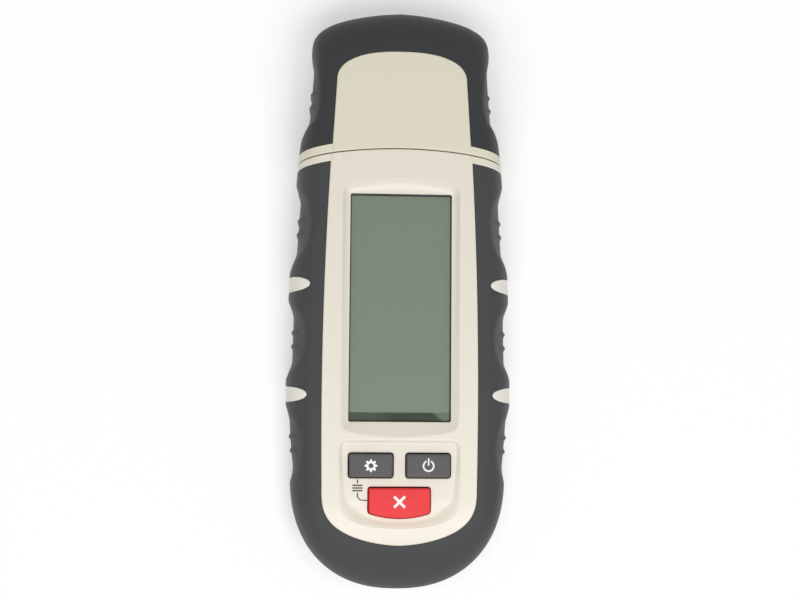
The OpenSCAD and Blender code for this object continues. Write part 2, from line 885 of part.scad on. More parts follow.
// The cap's closed outside, with a bare band at the rim and a bare tongue on both faces
module cap_outside() {
    lofted_body(
        concat(
            [for (st = cap_band_stations) both_sides(band_curve(st, -1), band_curve(st, 1))],
            [for (st = cap_stations) both_sides(case_curve(st, -1), case_curve(st, 1))]
        ),
        true
    );
}

// The hollow of the cap narrows with the cap
cavity_wall = 2.4;
cavity_rim = y_seam - seam_bow - over;
cavity_end = y_seam + cavity_depth;
cavity_half_x = [
    seam_width / 2 - grip_thickness - cavity_wall,
    cap_width / 2 - finger_depth - grip_thickness - 1.6 * cavity_wall
];
cavity_half_z = [
    z_mid - cavity_wall,
    half_height(cavity_end, 1) - grip_thickness - 1.2 * cavity_wall
];
module cap_cavity() {
    hull() {
        translate([0, cavity_rim - over, z_mid])
            rounded_bar(2 * cavity_half_x[0], 2 * cavity_half_z[0], over, neck_corner, $fn = 32);
        translate([0, cavity_end - over, z_mid])
            rounded_bar(2 * cavity_half_x[1], 2 * cavity_half_z[1], over, neck_corner, $fn = 32);
    }
}

// Ribs along the cavity that guide the cap over the neck, rooted in its narrowing walls
guide_x = 12;
guide_root = 0.6;
guide_start = y_seam + fit_gap;
guide_end = y_neck - over;
function cavity_half(halves, y) =
    lerp(halves[0], halves[1], (y - cavity_rim) / (cavity_end - over - cavity_rim));
module guide(near, halves) {
    translate([0, 0, -guide_rib / 2])
        linear_extrude(guide_rib)
            polygon([
                [near, guide_start],
                [cavity_half(halves, guide_start) + guide_root, guide_start],
                [cavity_half(halves, guide_end) + guide_root, guide_end],
                [near, guide_end]
            ]);
}

module cap_guides() {
    translate([0, 0, z_mid]) {
        for (x = [-guide_x, guide_x], side = [-1, 1])
            translate([x, 0, 0])
                rotate([0, -90 * side, 0])
                    guide(neck_height / 2 + cap_clearance, cavity_half_z);
        for (turn = [0, 180])
            rotate([0, turn, 0])
                guide(neck_width / 2 + cap_clearance, cavity_half_x);
    }
}

module cap_shell() {
    color(beige)
        difference() {
            union() {
                difference() {
                    cap_outside();
                    cap_cavity();
                }
                cap_guides();
            }
            below_seam(fit_gap);
        }
}

module cap_grip() {
    color(charcoal)
        difference() {
            lofted_grip(
                [for (st = cap_stations) both_sides(skin(st, -1), skin(st, 1))],
                [for (st = cap_stations) both_sides(core(st, -1), core(st, 1))],
                true
            );
            groove_cutters([cap_finger], function (y) cap_outline(cap_side_half(y), y).x);
        }
}

// A flat plate around the window's middle, from one height up
module display_plate(width, length, level, thickness) {
    translate([-width / 2, y_window - length / 2, level])
        cube([width, length, thickness]);
}

lens_gap = 0.1;
module display_lens() {
    color("#cfd8d2")
        display_plate(window_width - 2 * lens_gap, window_length - 2 * lens_gap,
            z_lens - lens_thickness, lens_thickness);
}

module lens_tape() {
    color("#202020")
        difference() {
            display_plate(window_width - 2 * lens_gap, window_length - 2 * lens_gap,
                z_ledge, tape_thickness);
            display_plate(window_width - 2 * ledge_width, window_length - 2 * ledge_width,
                z_ledge - over, tape_thickness + 2 * over);
        }
}

glass_side = 1.2;
glass_end = 2.25;
glass_width = window_width + 2 * glass_side;
glass_length = window_length + 2 * glass_end;
module display_cell() {
    color("#7f8b7d")
        display_plate(glass_width, glass_length, z_cell_glass, cell_glass);
}

strip_width = 2;
guide_length = glass_length - 2 * strip_width - 1;
module light_guide_plate() {
    color("#e8ece4")
        display_plate(glass_width - 0.6, guide_length, z_holder_floor, light_guide);
}

module display_holder() {
    rim = 0.8;
    color("#e6e6e0")
        difference() {
            display_plate(glass_width + 2 * rim, glass_length + 2 * rim, board_level,
                z_holder_top - board_level);
            display_plate(glass_width + 0.2, glass_length + 0.2, z_holder_floor, cell_glass + light_guide + over);
            translate([-glass_width / 2 + 1, y_window - glass_length / 2, board_level - over])
                cube([glass_width - 2, strip_width + 0.2, z_mid]);
        }
}

// The conducting rubber strip between the cell's ledge and the board
module contact_strip() {
    color("#303034")
        translate([-glass_width / 2 + 1.2, y_window - glass_length / 2 + 0.1, board_level])
            cube([glass_width - 2.4, strip_width, z_cell_glass - board_level]);
}

module main_board() {
    color("#2e6b45")
        difference() {
            union() {
                translate([-board_width / 2, board_end, z_board_under])
                    cube([board_width, board_top - board_end, board_thickness]);
                translate([-tongue_half_width, sheet_end, z_board_under])
                    cube([2 * tongue_half_width, board_top - sheet_end, board_thickness]);
            }
            for (place = board_screw_places)
                translate([place.x, place.y, z_board_under - over])
                    cylinder(d = board_screw + 0.4, h = board_thickness + 2 * over);
        }
}

// Parts on the under side of the board, beside the battery bay
y_parts = (bay_top + board_top) / 2;
chip_size = 12;
chip_height = 1.6;
chip_x = 8;
small_chip_width = 4;
small_chip_length = 5;
small_chip_step = 9;
small_chip_x = 15;
crystal_diameter = 3.2;
crystal_height = 3.5;
crystal_x = 17;
module board_chips() {
    color("#26262a") {
        translate([chip_x - chip_size / 2, y_parts - chip_size / 2, z_board_under - chip_height])
            cube([chip_size, chip_size, chip_height]);
        for (side = [-1, 1])
            translate([
                -small_chip_x - small_chip_width / 2,
                y_parts + (side * small_chip_step - small_chip_length) / 2,
                z_board_under - chip_height
            ])
                cube([small_chip_width, small_chip_length, chip_height]);
    }
    color("#b9bcc0")
        translate([crystal_x, y_parts, z_board_under - crystal_height])
            cylinder(d = crystal_diameter, h = crystal_height);
}

buzzer_diameter = 11;
buzzer_height = 4;
buzzer_x = -6;
sound_hole = 2;
module buzzer() {
    color("#1c1c1e")
        translate([buzzer_x, y_parts, z_board_under - buzzer_height])
            difference() {
                cylinder(d = buzzer_diameter, h = buzzer_height);
                translate([0, 0, -over])
                    cylinder(d = sound_hole, h = buzzer_height / 2 + over);
            }
}

// A key: a bevelled top, a column through the case, and a skirt behind it
module key_solid(name) {
    at_key(name) {
        translate([0, 0, z_key])
            linear_extrude(skirt_height)
                key_outline(name, key_skirt);
        translate([0, 0, z_key])
            linear_extrude(z_face + key_rise - key_bevel - z_key)
                key_outline(name);
        hull() {
            translate([0, 0, z_face + key_rise - key_bevel - 0.01])
                linear_extrude(0.01)
                    key_outline(name, $fn = 32);
            translate([0, 0, z_face + key_rise - 0.01])
                linear_extrude(0.01)
                    key_outline(name, -key_bevel, $fn = 32);
        }
    }
}

// The carbon pill under a key, which bridges two pads on the board
pill_diameter = 4;
module key_pill(name) {
    middle = name == "clear" ? -(clear_run + clear_bow_run) / 2 : 0;
    color("#1a1a1a")
        at_key(name)
            translate([0, middle, z_pill])
                cylinder(d = pill_diameter, h = pill_thickness);
}

module keypad_sheet() {
    half = key_spacing / 2 + key_width / 2 + sheet_margin;
    top = y_keys + key_run / 2 + sheet_margin;
    upper_end = y_clear_top - sheet_margin;
    color("#4a4a4e")
        difference() {
            union() {
                translate([-half, upper_end, board_level])
                    cube([2 * half, top - upper_end, sheet_thickness]);
                translate([-tongue_half_width, sheet_end, board_level])
                    cube([2 * tongue_half_width, top - sheet_end, sheet_thickness]);
            }
            for (name = key_names)
                at_key(name)
                    translate([0, 0, board_level - over])
                        linear_extrude(sheet_thickness + 2 * over)
                            key_outline(name, key_skirt + skirt_gap);
        }
}

// The insulating head: a neck outside the case and a tail with lips inside it
module electrode_head() {
    neck_start = y_inner_end + 0.1;
    color("#2b2b2d")
        difference() {
            union() {
                translate([0, neck_start, z_mid])
                    rounded_bar(neck_width, neck_height, y_neck - neck_start, neck_corner);
                translate([-tail_width / 2, y_inner_end - fit_gap - 2.2, z_mid - neck_height / 2 - tail_lip])
                    cube([tail_width, 2.2, neck_height + 2 * tail_lip]);
                translate([-tail_width / 2, y_inner_end - over, z_mid - neck_height / 2])
                    cube([tail_width, 2 * over, neck_height]);
            }
            for (side = [-1, 1])
                translate([side * needle_spacing / 2, y_inner_end - over, z_mid])
                    rotate([-90, 0, 0])
                        cylinder(d = socket_diameter + 2 * close_fit, h = y_neck);
        }
}

module electrode_pair() {
    for (side = [-1, 1])
        translate([side * needle_spacing / 2, 0, z_mid])
            rotate([-90, 0, 0])
                children();
}

module electrode_sockets() {
    color("#c9a24a")
        electrode_pair()
            difference() {
                translate([0, 0, socket_start])
                    cylinder(d = socket_diameter, h = y_neck - socket_start);
                translate([0, 0, socket_start + 4])
                    cylinder(d = needle_diameter + 2 * close_fit, h = y_neck);
            }
}

module electrode_nuts() {
    color("#c4c6c8")
        electrode_pair()
            difference() {
                translate([0, 0, y_neck])
                    cylinder(d = nut_width / cos(30), h = nut_thickness, $fn = 6);
                translate([0, 0, y_neck - over])
                    cylinder(d = needle_diameter + 2 * close_fit, h = nut_thickness + 2 * over);
            }
}

module electrode_needles() {
    point = 5;
    start = socket_start + 4 + contact_clearance;
    straight_end = y_neck + nut_thickness + needle_run - point;
    color("#d4d6d8")
        electrode_pair() {
            translate([0, 0, start])
                cylinder(d = needle_diameter, h = straight_end - start);
            translate([0, 0, straight_end])
                cylinder(d1 = needle_diameter, d2 = 0.2, h = point);
        }
}

// Brass strips from the backs of the sockets up to the board
lead_thickness = 0.8;
lead_width = 1.6;
lead_inset = 1;
module electrode_leads() {
    color("#c9a24a")
        for (side = [-1, 1])
            translate([side * needle_spacing / 2 - lead_thickness / 2, 0, 0])
                rotate([90, 0, 90])
                    linear_extrude(lead_thickness)
                        polygon([
                            [socket_start - contact_gap, z_mid - lead_width / 2],
                            [socket_start - contact_gap, z_mid + lead_width / 2],
                            [board_top - lead_inset, z_mid + lead_width / 2],
                            [board_top - lead_inset, z_board_under],
                            [board_top - lead_inset - lead_width, z_board_under],
                            [board_top - lead_inset - lead_width, z_mid - lead_width / 2]
                        ]);
}

// A dry cell; every second one is turned round
nub_length = 1;
function cell_x(k) = (k - 1) * cell_pitch;
function cell_turned(k) = k == 1;
contact_far = bay_top - contact_gap - contact_thickness;
contact_near = y_bay + contact_gap;
// Where a cell's flat end lies, counted from the contact that its spring presses on
spring_seat = contact_thickness + 2 * contact_gap + spring_length + contact_gap;

module along_cell(k) {
    translate([cell_x(k), cell_turned(k) ? bay_top : y_bay, cell_level])
        rotate([cell_turned(k) ? 90 : -90, 0, 0])
            children();
}

module battery_cell(k) {
    nub_diameter = 3.8;
    color("#3b6ea5")
        along_cell(k)
            translate([0, 0, spring_seat]) {
                cylinder(d = battery_diameter, h = battery_length - nub_length);
                cylinder(d = nub_diameter, h = battery_length);
            }
}

// A conical coil, swept along its own turns
module coil(turns, radius_low, radius_high, height, wire) {
    sides = 5;
    steps = 9 * turns;
    points = [
        for (i = [0 : steps])
            let (
                t = i / steps,
                a = 360 * turns * t,
                r = lerp(radius_low, radius_high, t),
                z = lerp(wire / 2, height - wire / 2, t)
            )
            for (q = [0 : sides - 1])
                let (b = 360 * q / sides, d = r + wire / 2 * cos(b))
                [d * cos(a), d * sin(a), z + wire / 2 * sin(b)]
    ];
    body = [
        for (i = [0 : steps - 1]) for (q = [0 : sides - 1])
            let (a = i * sides + q, d = i * sides + (q + 1) % sides)
            each quad(a, d, d + sides, a + sides)
    ];
    last = steps * sides;
    polyhedron(
        points,
        concat(body, [[for (q = [sides - 1 : -1 : 0]) q]], [[for (q = [0 : sides - 1]) last + q]]),
        convexity = 8
    );
}

spring_wire = 0.7;
spring_low = 3.6;
spring_high = 2.2;
module battery_springs() {
    color("#c8cacc")
        for (k = [0 : cells - 1])
            along_cell(k)
                translate([0, 0, contact_thickness + 2 * contact_gap])
                    coil(3, spring_low, spring_high, spring_length, spring_wire);
}

module battery_contacts() {
    plate_width = 8.6;
    color("#c8cacc")
        for (k = [0 : cells - 1], y = [contact_near, contact_far])
            translate([cell_x(k) - plate_width / 2, y, cell_level - plate_width / 2])
                cube([plate_width, contact_thickness, plate_width]);
}

// The door: a plate that turns on its round end, with two hooks there and a sprung latch opposite
module battery_door() {
    latch_width = 10;
    slot = 0.8;
    color(beige)
        difference() {
            union() {
                translate([-door_side, door_end, door_inset])
                    cube([2 * door_side, y_hinge_axis - door_end, door_thickness]);
                translate([-door_side, y_hinge_axis, z_hinge_axis])
                    rotate([0, 90, 0])
                        cylinder(d = door_thickness, h = 2 * door_side);
                for (x = hook_places)
                    translate([x - hook_width / 2, y_hinge_axis - hook_thickness / 2, 0])
                        hook();
            }
            for (side = [-1, 1])
                translate([side * latch_width / 2 - slot / 2, door_end - over, door_inset - over])
                    cube([slot, door_latch - 1 + over, door_thickness + 2 * over]);
            for (k = [0 : 4])
                translate([-latch_width / 2 + 1.4, door_end + 1.2 + k * 1.1, door_inset - 0.1])
                    cube([latch_width - 2.8, 0.5, 0.4]);
        }
}

// A hook rises past the case's wall and reaches under it
module hook() {
    arm_level = wall + hook_gap;
    translate([0, 0, z_hinge_axis])
        cube([hook_width, hook_thickness, arm_level + hook_height - z_hinge_axis]);
    translate([0, 0, arm_level])
        cube([hook_width, hook_reach + (door_thickness + hook_thickness) / 2, hook_height]);
}

module case_screws() {
    shank_top = z_mid + pilot_depth - pilot_gap;
    color("#b8babc")
        for (place = case_screw_places)
            translate([place.x, place.y, 0])
                difference() {
                    union() {
                        translate([0, 0, head_seat - head_height])
                            cylinder(d = case_head, h = head_height);
                        translate([0, 0, head_seat - over])
                            cylinder(d = case_screw, h = shank_top - head_seat + over);
                    }
                    cross_slot(head_seat - head_height, case_head);
                }
}

// A cross recess that opens downwards from a level
slot_width = 0.7;
slot_depth = 0.8;
module cross_slot(level, head) {
    for (turn = [0, 90])
        rotate(turn)
            translate([-head * 0.33, -slot_width / 2, level - over])
                cube([head * 0.66, slot_width, slot_depth + over]);
}

module board_screws() {
    color("#b8babc")
        for (place = board_screw_places)
            translate([place.x, place.y, z_board_under])
                difference() {
                    union() {
                        translate([0, 0, -board_head_height])
                            cylinder(d = board_head, h = board_head_height);
                        translate([0, 0, -over])
                            cylinder(d = board_screw, h = board_thickness + board_pilot - pilot_gap + over);
                    }
                    cross_slot(-board_head_height, board_head);
                }
}

front_case();
rear_case();
front_grip();
rear_grip();
cap_shell();
cap_grip();
display_lens();
lens_tape();
display_cell();
light_guide_plate();
display_holder();
contact_strip();
main_board();
board_chips();
buzzer();
color(key_grey) key_solid("set");  // set_key
color(key_grey) key_solid("mode");  // mode_key
color(key_red) key_solid("clear");  // clear_key
key_pill("set");  // set_key_pill
key_pill("mode");  // mode_key_pill
key_pill("clear");  // clear_key_pill
keypad_sheet();
electrode_head();
electrode_sockets();
electrode_nuts();
electrode_needles();
electrode_leads();
battery_cell(0);  // battery_cell_left
battery_cell(1);  // battery_cell_middle
battery_cell(2);  // battery_cell_right
battery_springs();
battery_contacts();
battery_door();
case_screws();
board_screws();
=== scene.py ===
import bmesh
import bpy
import numpy as np
from mathutils import Matrix, Vector
from mathutils.geometry import delaunay_2d_cdt


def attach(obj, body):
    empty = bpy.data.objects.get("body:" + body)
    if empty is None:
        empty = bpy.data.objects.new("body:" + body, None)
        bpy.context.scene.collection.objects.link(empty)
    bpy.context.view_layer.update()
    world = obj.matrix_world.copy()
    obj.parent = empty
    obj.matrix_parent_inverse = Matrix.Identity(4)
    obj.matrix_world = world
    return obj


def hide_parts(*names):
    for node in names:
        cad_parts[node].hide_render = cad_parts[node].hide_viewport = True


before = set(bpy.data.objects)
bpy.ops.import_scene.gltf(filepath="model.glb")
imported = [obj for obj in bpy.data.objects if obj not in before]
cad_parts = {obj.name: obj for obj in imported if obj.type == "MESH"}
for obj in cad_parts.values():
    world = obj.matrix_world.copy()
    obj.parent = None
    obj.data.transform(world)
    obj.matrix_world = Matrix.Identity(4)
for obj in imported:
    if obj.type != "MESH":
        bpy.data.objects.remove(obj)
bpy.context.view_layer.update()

# Rear case: the moulded back half of the meter, in hard beige ABS with a fine spark-eroded grain.
# It carries the battery bay, four screw wells and the lower half of the bare band at the seam.
# Its rounded shoulders lie under the soft grip, and its flat back is what the meter lies on.
seam, band_foot, crest, hip, middle = 40.55, 38.4, -26.5, -52.5, 13.0
seam_half, seam_bow, panel_top = 29.0, 3.3, 19.7
butt_start, butt_half, butt_length = -50.0, 30.4, 32.5
grip_depth, edge_drop, panel_edge, rounding = 1.8, 0.3, 0.4, 0.3
finger_hollows = [(-42.0, 12.0, 1.08), (-12.8, 12.0, 1.78), (19.05, 13.6, 1.75)]
inlay_places, land_depth, land_half = [-28.15, 2.52], 6.05, 2.16
neck_half = np.array([21.0, 8.0])
door_half, door_low, door_high, hook_places = 18.0, -59.5, 0.3, (-8.5, 8.5)
bay_half, bay_low, bay_high, bay_roof = 16.4, -52.0, -1.9, 13.1
case_screw_places = np.array([[16.8, 34.2], [-16.8, 34.2], [13.2, -63.1], [-13.2, -63.1]])
flip = np.array([-1, 1, 1])


def ease(t):
    """3 t^2 - 2 t^3 between 0 and 1."""
    t = np.clip(t, 0, 1)
    return t * t * (3 - 2 * t)


def unit(v):
    """Each vector over its own length."""
    return v / np.linalg.norm(v, axis=-1, keepdims=True)


def seam_fall(x):
    """How far the seam's circle has fallen at x: R - sqrt(R^2 - x^2), with a 3.3 mm bow over 58 mm."""
    radius = (seam_half**2 + seam_bow**2) / (2 * seam_bow)
    return radius - np.sqrt(radius**2 - x**2)


def half_thickness(y, side):
    """13 mm, less 6 t^2 where the face rolls down over the butt, and tapering by 14% along the cap."""
    roll = 6 * np.clip((-57 - y) / 25.5, 0, 1) ** 2 * (side > 0)
    return np.where(y > seam, middle * (1 - 0.14 * (y - seam) / 41.7), middle - roll)


def hollow_depth(y, hollows):
    """Depth of the finger hollows at y: each rises and falls as a smooth step over half its reach."""
    depths = [deep * ease((1 - np.abs(y - place) / reach) / 0.52) for place, reach, deep in hollows]
    return np.max(depths, axis=0)


def crest_half(y):
    """Half width over the crests: parabolas that fall from 31.9 mm to the seam and to the start of the
    butt, and then a superellipse of power 2.3."""
    up, down = (y - crest) / (seam - crest), (crest - y) / (crest - butt_start)
    end = np.clip((butt_start - y) / butt_length, 0, 1)
    side = np.where(y > crest, 31.9 - 2.9 * up**2, 31.9 - 1.5 * down**2)
    return np.where(y > butt_start, side, butt_half * (1 - end**2.3) ** (1 / 2.3))


def panel_half(y):
    """Half width of the bare panel: 21.65 mm at y = -28, falling as a parabola to 19.7 mm at the seam."""
    return 21.65 - 1.95 * ((y + 28) / (seam + 28)) ** 2


def round_end(half, length, power, angle):
    """A quarter of a superellipse: (half cos^(2/p), length sin^(2/q)), with one power or two."""
    p, q = np.broadcast_to(power, 2)
    across = half * np.maximum(np.cos(angle), 0) ** (2 / p)
    return np.stack([across, length * np.maximum(np.sin(angle), 0) ** (2 / q)], -1)


def body_side(s):
    """Outline point, panel-edge point and inward direction at places s down the right side."""
    bow = np.clip(1 - (band_foot - s) / 12, 0, 1)
    yo, yp = s - bow * seam_fall(seam_half), s - bow * seam_fall(panel_top)
    outline = np.stack([crest_half(yo), yo], -1)
    panel = np.stack([panel_half(yp), yp], -1)
    return outline, panel, unit(np.stack([-np.ones_like(s), -0.12 * bow], -1))


def body_butt(angle):
    """The same three around the butt: superellipses of power 2.3, and of powers 1.7 and 3.4."""
    first = np.arcsin(((butt_start - hip) / butt_length) ** 1.15)
    angle_out = first + (np.pi / 2 - first) * angle / (np.pi / 2)
    outline = round_end(butt_half, butt_length, 2.3, angle_out) * [1, -1] + [0, butt_start]
    panel = round_end(panel_half(hip), 16.9, (1.7, 3.4), angle) * [1, -1] + [0, hip]
    return outline, panel, unit(panel - outline)


def whole_run(side, end):
    """The three runs of a side and of half an end, carried on up the other side."""
    runs = [np.concatenate(pair) for pair in zip(side, end)]
    return [np.concatenate([run, run[-2::-1] * [-1, 1]]) for run in runs]


def shoulder(outline, panel, side, drop, phi):
    """From the outline at half height to the panel's edge as a superellipse of power 2.5:
    plan = O + (P - O)(1 - cos^0.8 phi), rise = (half thickness - drop) sin^0.8 phi."""
    lean = (1 - np.maximum(np.cos(phi), 0) ** 0.8)[..., None]
    plan = outline + (panel - outline) * lean
    rise = (half_thickness(plan[..., 1], side) - drop) * np.sin(phi) ** 0.8
    return np.concatenate([plan, (middle + side * rise)[..., None]], -1)


def flank(run, side, extra, phi, hollows):
    """A shoulder set in by an extra depth and by the finger hollows. A hollow is a scoop: at height h its
    wall stands deep + 0.0043 wide arc (h - 2.5)^2 in from the outline, where wide is the shoulder's width
    and arc is 1 - t^2 along the hollow. The shoulder gives way by c, that wall less its own inset, and
    the two meet in a soft crease: (c + sqrt(c^2 + 0.4^2)) / 2."""
    outline, panel, inward = run
    y = outline[..., 1]
    deep = hollow_depth(y, hollows) * inward[..., 0] ** 2
    arc = np.max([1 - ((y - place) / reach) ** 2 for place, reach, _ in hollows], axis=0)
    wide = np.linalg.norm(panel - outline, axis=-1)
    height = (half_thickness(y, side) - edge_drop) * np.sin(phi) ** 0.8
    wall = deep + 0.0043 * wide * np.maximum(arc, 0) * np.maximum(height - 2.5, 0) ** 2
    cut = wall - wide * (1 - np.maximum(np.cos(phi), 0) ** 0.8)
    depth = extra + ease(deep / 0.4) * (cut + np.sqrt(cut**2 + 0.4**2)) / 2
    return shoulder(outline + inward * depth[..., None], panel, side, edge_drop + depth, phi)


def at_face(plan, side, drop=0.0):
    """Plan points raised to the face (side 1) or the back (side -1), less a drop."""
    z = middle + side * (half_thickness(plan[..., 1], side) - drop)
    return np.concatenate([plan, np.broadcast_to(z, plan.shape[:-1])[..., None]], -1)


def along_seam(plan, y):
    """Points (x, z) set on the bowed surface that stands parallel to the seam at y."""
    return np.stack([plan[:, 0], y - seam_fall(plan[:, 0]), plan[:, 1]], -1)


def level(plan, z):
    """Plan points at one height."""
    return np.concatenate([plan, np.full((len(plan), 1), float(z))], -1)


def sheet(points, around=False):
    """A grid of points as four-sided faces; around joins each row's end to its start."""
    rows, columns = points.shape[:2]
    index = np.arange(rows * columns).reshape(rows, columns)
    if around:
        index = np.concatenate([index, index[:, :1]], 1)
    a, b, c, d = index[:-1, :-1], index[1:, :-1], index[1:, 1:], index[:-1, 1:]
    return points.reshape(-1, 3), np.stack([a, b, c, d], -1).reshape(-1, 4)


def set_in(loop, distance):
    """A left-turning loop moved towards its inside along its own normals."""
    along = unit(np.roll(loop, -1, 0) - np.roll(loop, 1, 0))
    return loop + distance * np.stack([-along[:, 1], along[:, 0]], -1)


def fill(loops, axes=(0, 1), loose=None, border=0.15, lift=None):
    """Triangles between closed loops: the first is the rim and the rest are holes. A narrow strip along
    each loop keeps the shading flat inside it; loose points let the fill follow a curved face."""
    axes, patches, rims = list(axes), [], []
    for k, loop in enumerate(loops):
        plan, rim = loop[:, axes], loop.copy()
        ahead = np.roll(plan, -1, 0)
        winding = np.sign(np.sum(plan[:, 0] * ahead[:, 1] - plan[:, 1] * ahead[:, 0]))
        rim[:, axes] = set_in(plan, border * winding * (-1 if k else 1))
        rims.append(lift(rim[:, axes]) if lift else rim)
        patches.append(sheet(np.stack([loop, rims[-1]]), around=True))
    ends = np.cumsum([0] + [len(rim) for rim in rims])
    turns = [np.arange(first, last) for first, last in zip(ends, ends[1:])]
    edges = np.concatenate([np.stack([turn, np.roll(turn, -1)], -1) for turn in turns])
    points = np.concatenate(rims + ([] if loose is None else [loose]))
    plan = points[:, axes]
    found = delaunay_2d_cdt([Vector(q) for q in plan.tolist()], edges.tolist(), [], 1, 1e-6)
    faces = np.array([source[0] for source in found[3]])[np.array(found[2])]
    heart, start, end = plan[faces].mean(1)[:, None], plan[edges[:, 0]], plan[edges[:, 1]]
    spans = (start[:, 1] > heart[..., 1]) != (end[:, 1] > heart[..., 1])
    rise = np.where(start[:, 1] == end[:, 1], 1, end[:, 1] - start[:, 1])
    left = heart[..., 0] < start[:, 0] + (heart[..., 1] - start[:, 1]) * (end[:, 0] - start[:, 0]) / rise
    return patches + [(points, faces[(spans & left).sum(1) % 2 == 1])]


def even_loop(corners, step):
    """A closed polygon cut into even steps, in the order of its corners."""
    ends = np.roll(corners, -1, 0)
    counts = np.maximum(1, np.round(np.linalg.norm(ends - corners, axis=1) / step).astype(int))
    start = np.repeat(np.arange(len(corners)), counts)
    share = np.concatenate([np.arange(n) / n for n in counts])
    return corners[start] + (ends - corners)[start] * share[:, None]


def rectangle(half_x, half_y, step=0.4, x=0.0, y=0.0):
    """The four sides of a rectangle about (x, y), turning left, in even steps."""
    corners = np.array([[half_x, -half_y], [half_x, half_y], [-half_x, half_y], [-half_x, -half_y]])
    return even_loop(corners + [x, y], step)


def circle(radius, x=0.0, y=0.0, count=40):
    """(x + r cos a, y + r sin a) for a whole turn."""
    a = np.arange(count) / count * 2 * np.pi
    return np.stack([x + radius * np.cos(a), y + radius * np.sin(a)], -1)


def raised(plans, heights):
    """Rows of plan points, each row at its own height."""
    z = np.broadcast_to(heights[:, None, None], plans.shape[:2] + (1,))
    return np.concatenate([plans, z], -1)


def stack(loop, rows):
    """Copies of a plan loop, one for each (inset, height) row."""
    inset, height = np.array(rows, float).T
    return raised(np.stack([set_in(loop, d) for d in inset]), height)


def placed(name, data):
    """A new object at the origin of the scene."""
    made = bpy.data.objects.new(name, data)
    bpy.context.scene.collection.objects.link(made)
    return made


def piece(name, patches, body, finish, stands_for, sharp=32.0, wall=0.0):
    """Patches in millimetres, welded into one smooth mesh that rides on a body. A wall is grown
    inwards from an open skin."""
    offsets = np.cumsum([0] + [len(points) for points, _ in patches])
    points = np.concatenate([points for points, _ in patches]) * 0.001
    faces = [face for (_, part), start in zip(patches, offsets) for face in (part + start).tolist()]
    mesh = bpy.data.meshes.new(name)
    mesh.from_pydata(points, [], faces)
    joined = bmesh.new()
    joined.from_mesh(mesh)
    bmesh.ops.remove_doubles(joined, verts=joined.verts, dist=4e-6)
    bmesh.ops.dissolve_degenerate(joined, edges=joined.edges, dist=1e-7)
    bmesh.ops.delete(joined, geom=[v for v in joined.verts if not v.link_faces], context="VERTS")
    bmesh.ops.recalc_face_normals(joined, faces=joined.faces)
    joined.to_mesh(mesh)
    joined.free()
    mesh.shade_smooth()
    mesh.set_sharp_from_angle(angle=np.radians(sharp))
    mesh.materials.append(finish)
    made = placed(name, mesh)
    if wall:
        thick = made.modifiers.new("wall", "SOLIDIFY")
        thick.thickness, thick.offset = wall * 0.001, -1
    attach(made, body)
    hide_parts(*stands_for)
    return made


class Shade:
    """A shader socket; arithmetic on it adds Math nodes to its material."""

    def __init__(self, tree, socket=None):
        self.tree, self.socket = tree, socket

    def node(self, kind, values=None, output=0, **settings):
        """Any node: its settings first, then the values or links of its sockets."""
        made = self.tree.nodes.new("ShaderNode" + kind)
        for key, value in settings.items():
            setattr(made, key, value)
        for key, value in (values or {}).items():
            if isinstance(value, Shade):
                self.tree.links.new(value.socket, made.inputs[key])
            else:
                made.inputs[key].default_value = value
        return Shade(self.tree, made.outputs[output])

    def math(self, operation, *values):
        """One Math node over numbers and sockets."""
        return self.node("Math", dict(enumerate(values)), operation=operation)

    def __add__(self, other):
        return self.math("ADD", self, other)

    def __radd__(self, other):
        return self.math("ADD", other, self)

    def __sub__(self, other):
        return self.math("SUBTRACT", self, other)

    def __rsub__(self, other):
        return self.math("SUBTRACT", other, self)

    def __mul__(self, other):
        return self.math("MULTIPLY", self, other)

    def __rmul__(self, other):
        return self.math("MULTIPLY", other, self)

    def __abs__(self):
        return self.math("ABSOLUTE", self)

    def least(self, other):
        """The smaller of the two."""
        return self.math("MINIMUM", self, other)

    def most(self, other):
        """The greater of the two."""
        return self.math("MAXIMUM", self, other)

    def below(self, limit, soft=0.00006):
        """1 where the value is under the limit, with a narrow soft edge."""
        span = {"Value": self, "From Min": limit + soft, "From Max": limit - soft}
        return self.node("MapRange", span, interpolation_type="SMOOTHSTEP")

    def blend(self, first, second):
        """first where this is 0, second where it is 1, as colours."""
        return self.node("Mix", {"Factor": self, 6: first, 7: second}, output=2, data_type="RGBA")


def colour(code):
    """A #rrggbb colour as linear light."""
    c = np.array([int(code[k:k + 2], 16) for k in (1, 3, 5)]) / 255
    return tuple(np.where(c <= 0.04045, c / 12.92, ((c + 0.055) / 1.055) ** 2.4).tolist()) + (1.0,)


def lit_by(tone, share):
    """A colour made darker or lighter, up to full light."""
    return tuple(min(1.0, c * share) for c in tone[:3]) + (1.0,)


def own_node(tree, kind):
    """The node of a kind that a new material or world starts with."""
    return next(node for node in tree.nodes if node.type == kind)


def finish_of(name, **fixed):
    """A new material with its Principled shader's fixed sockets set; returns it, a Shade and a setter."""
    made = bpy.data.materials.new(name)
    made.use_nodes = True
    shader = own_node(made.node_tree, "BSDF_PRINCIPLED")
    for key, value in fixed.items():
        shader.inputs[key.replace("_", " ")].default_value = value

    def wire(**links):
        """Links values to the shader's sockets, by name."""
        for key, value in links.items():
            made.node_tree.links.new(value.socket, shader.inputs[key.replace("_", " ")])

    return made, Shade(made.node_tree), wire


def noise(shade, scale, detail=2.0, rough=0.5):
    """Fractal noise over a piece's own place."""
    values = {"Vector": shade.node("TexCoord", output="Object"), "Scale": scale}
    return shade.node("TexNoise", {**values, "Detail": detail, "Roughness": rough}, output="Fac")


def places(shade):
    """A piece's own place as x, y and z in metres."""
    parts = shade.node("SeparateXYZ", {"Vector": shade.node("TexCoord", output="Object")}).socket.node
    return [Shade(shade.tree, parts.outputs[k]) for k in range(3)]


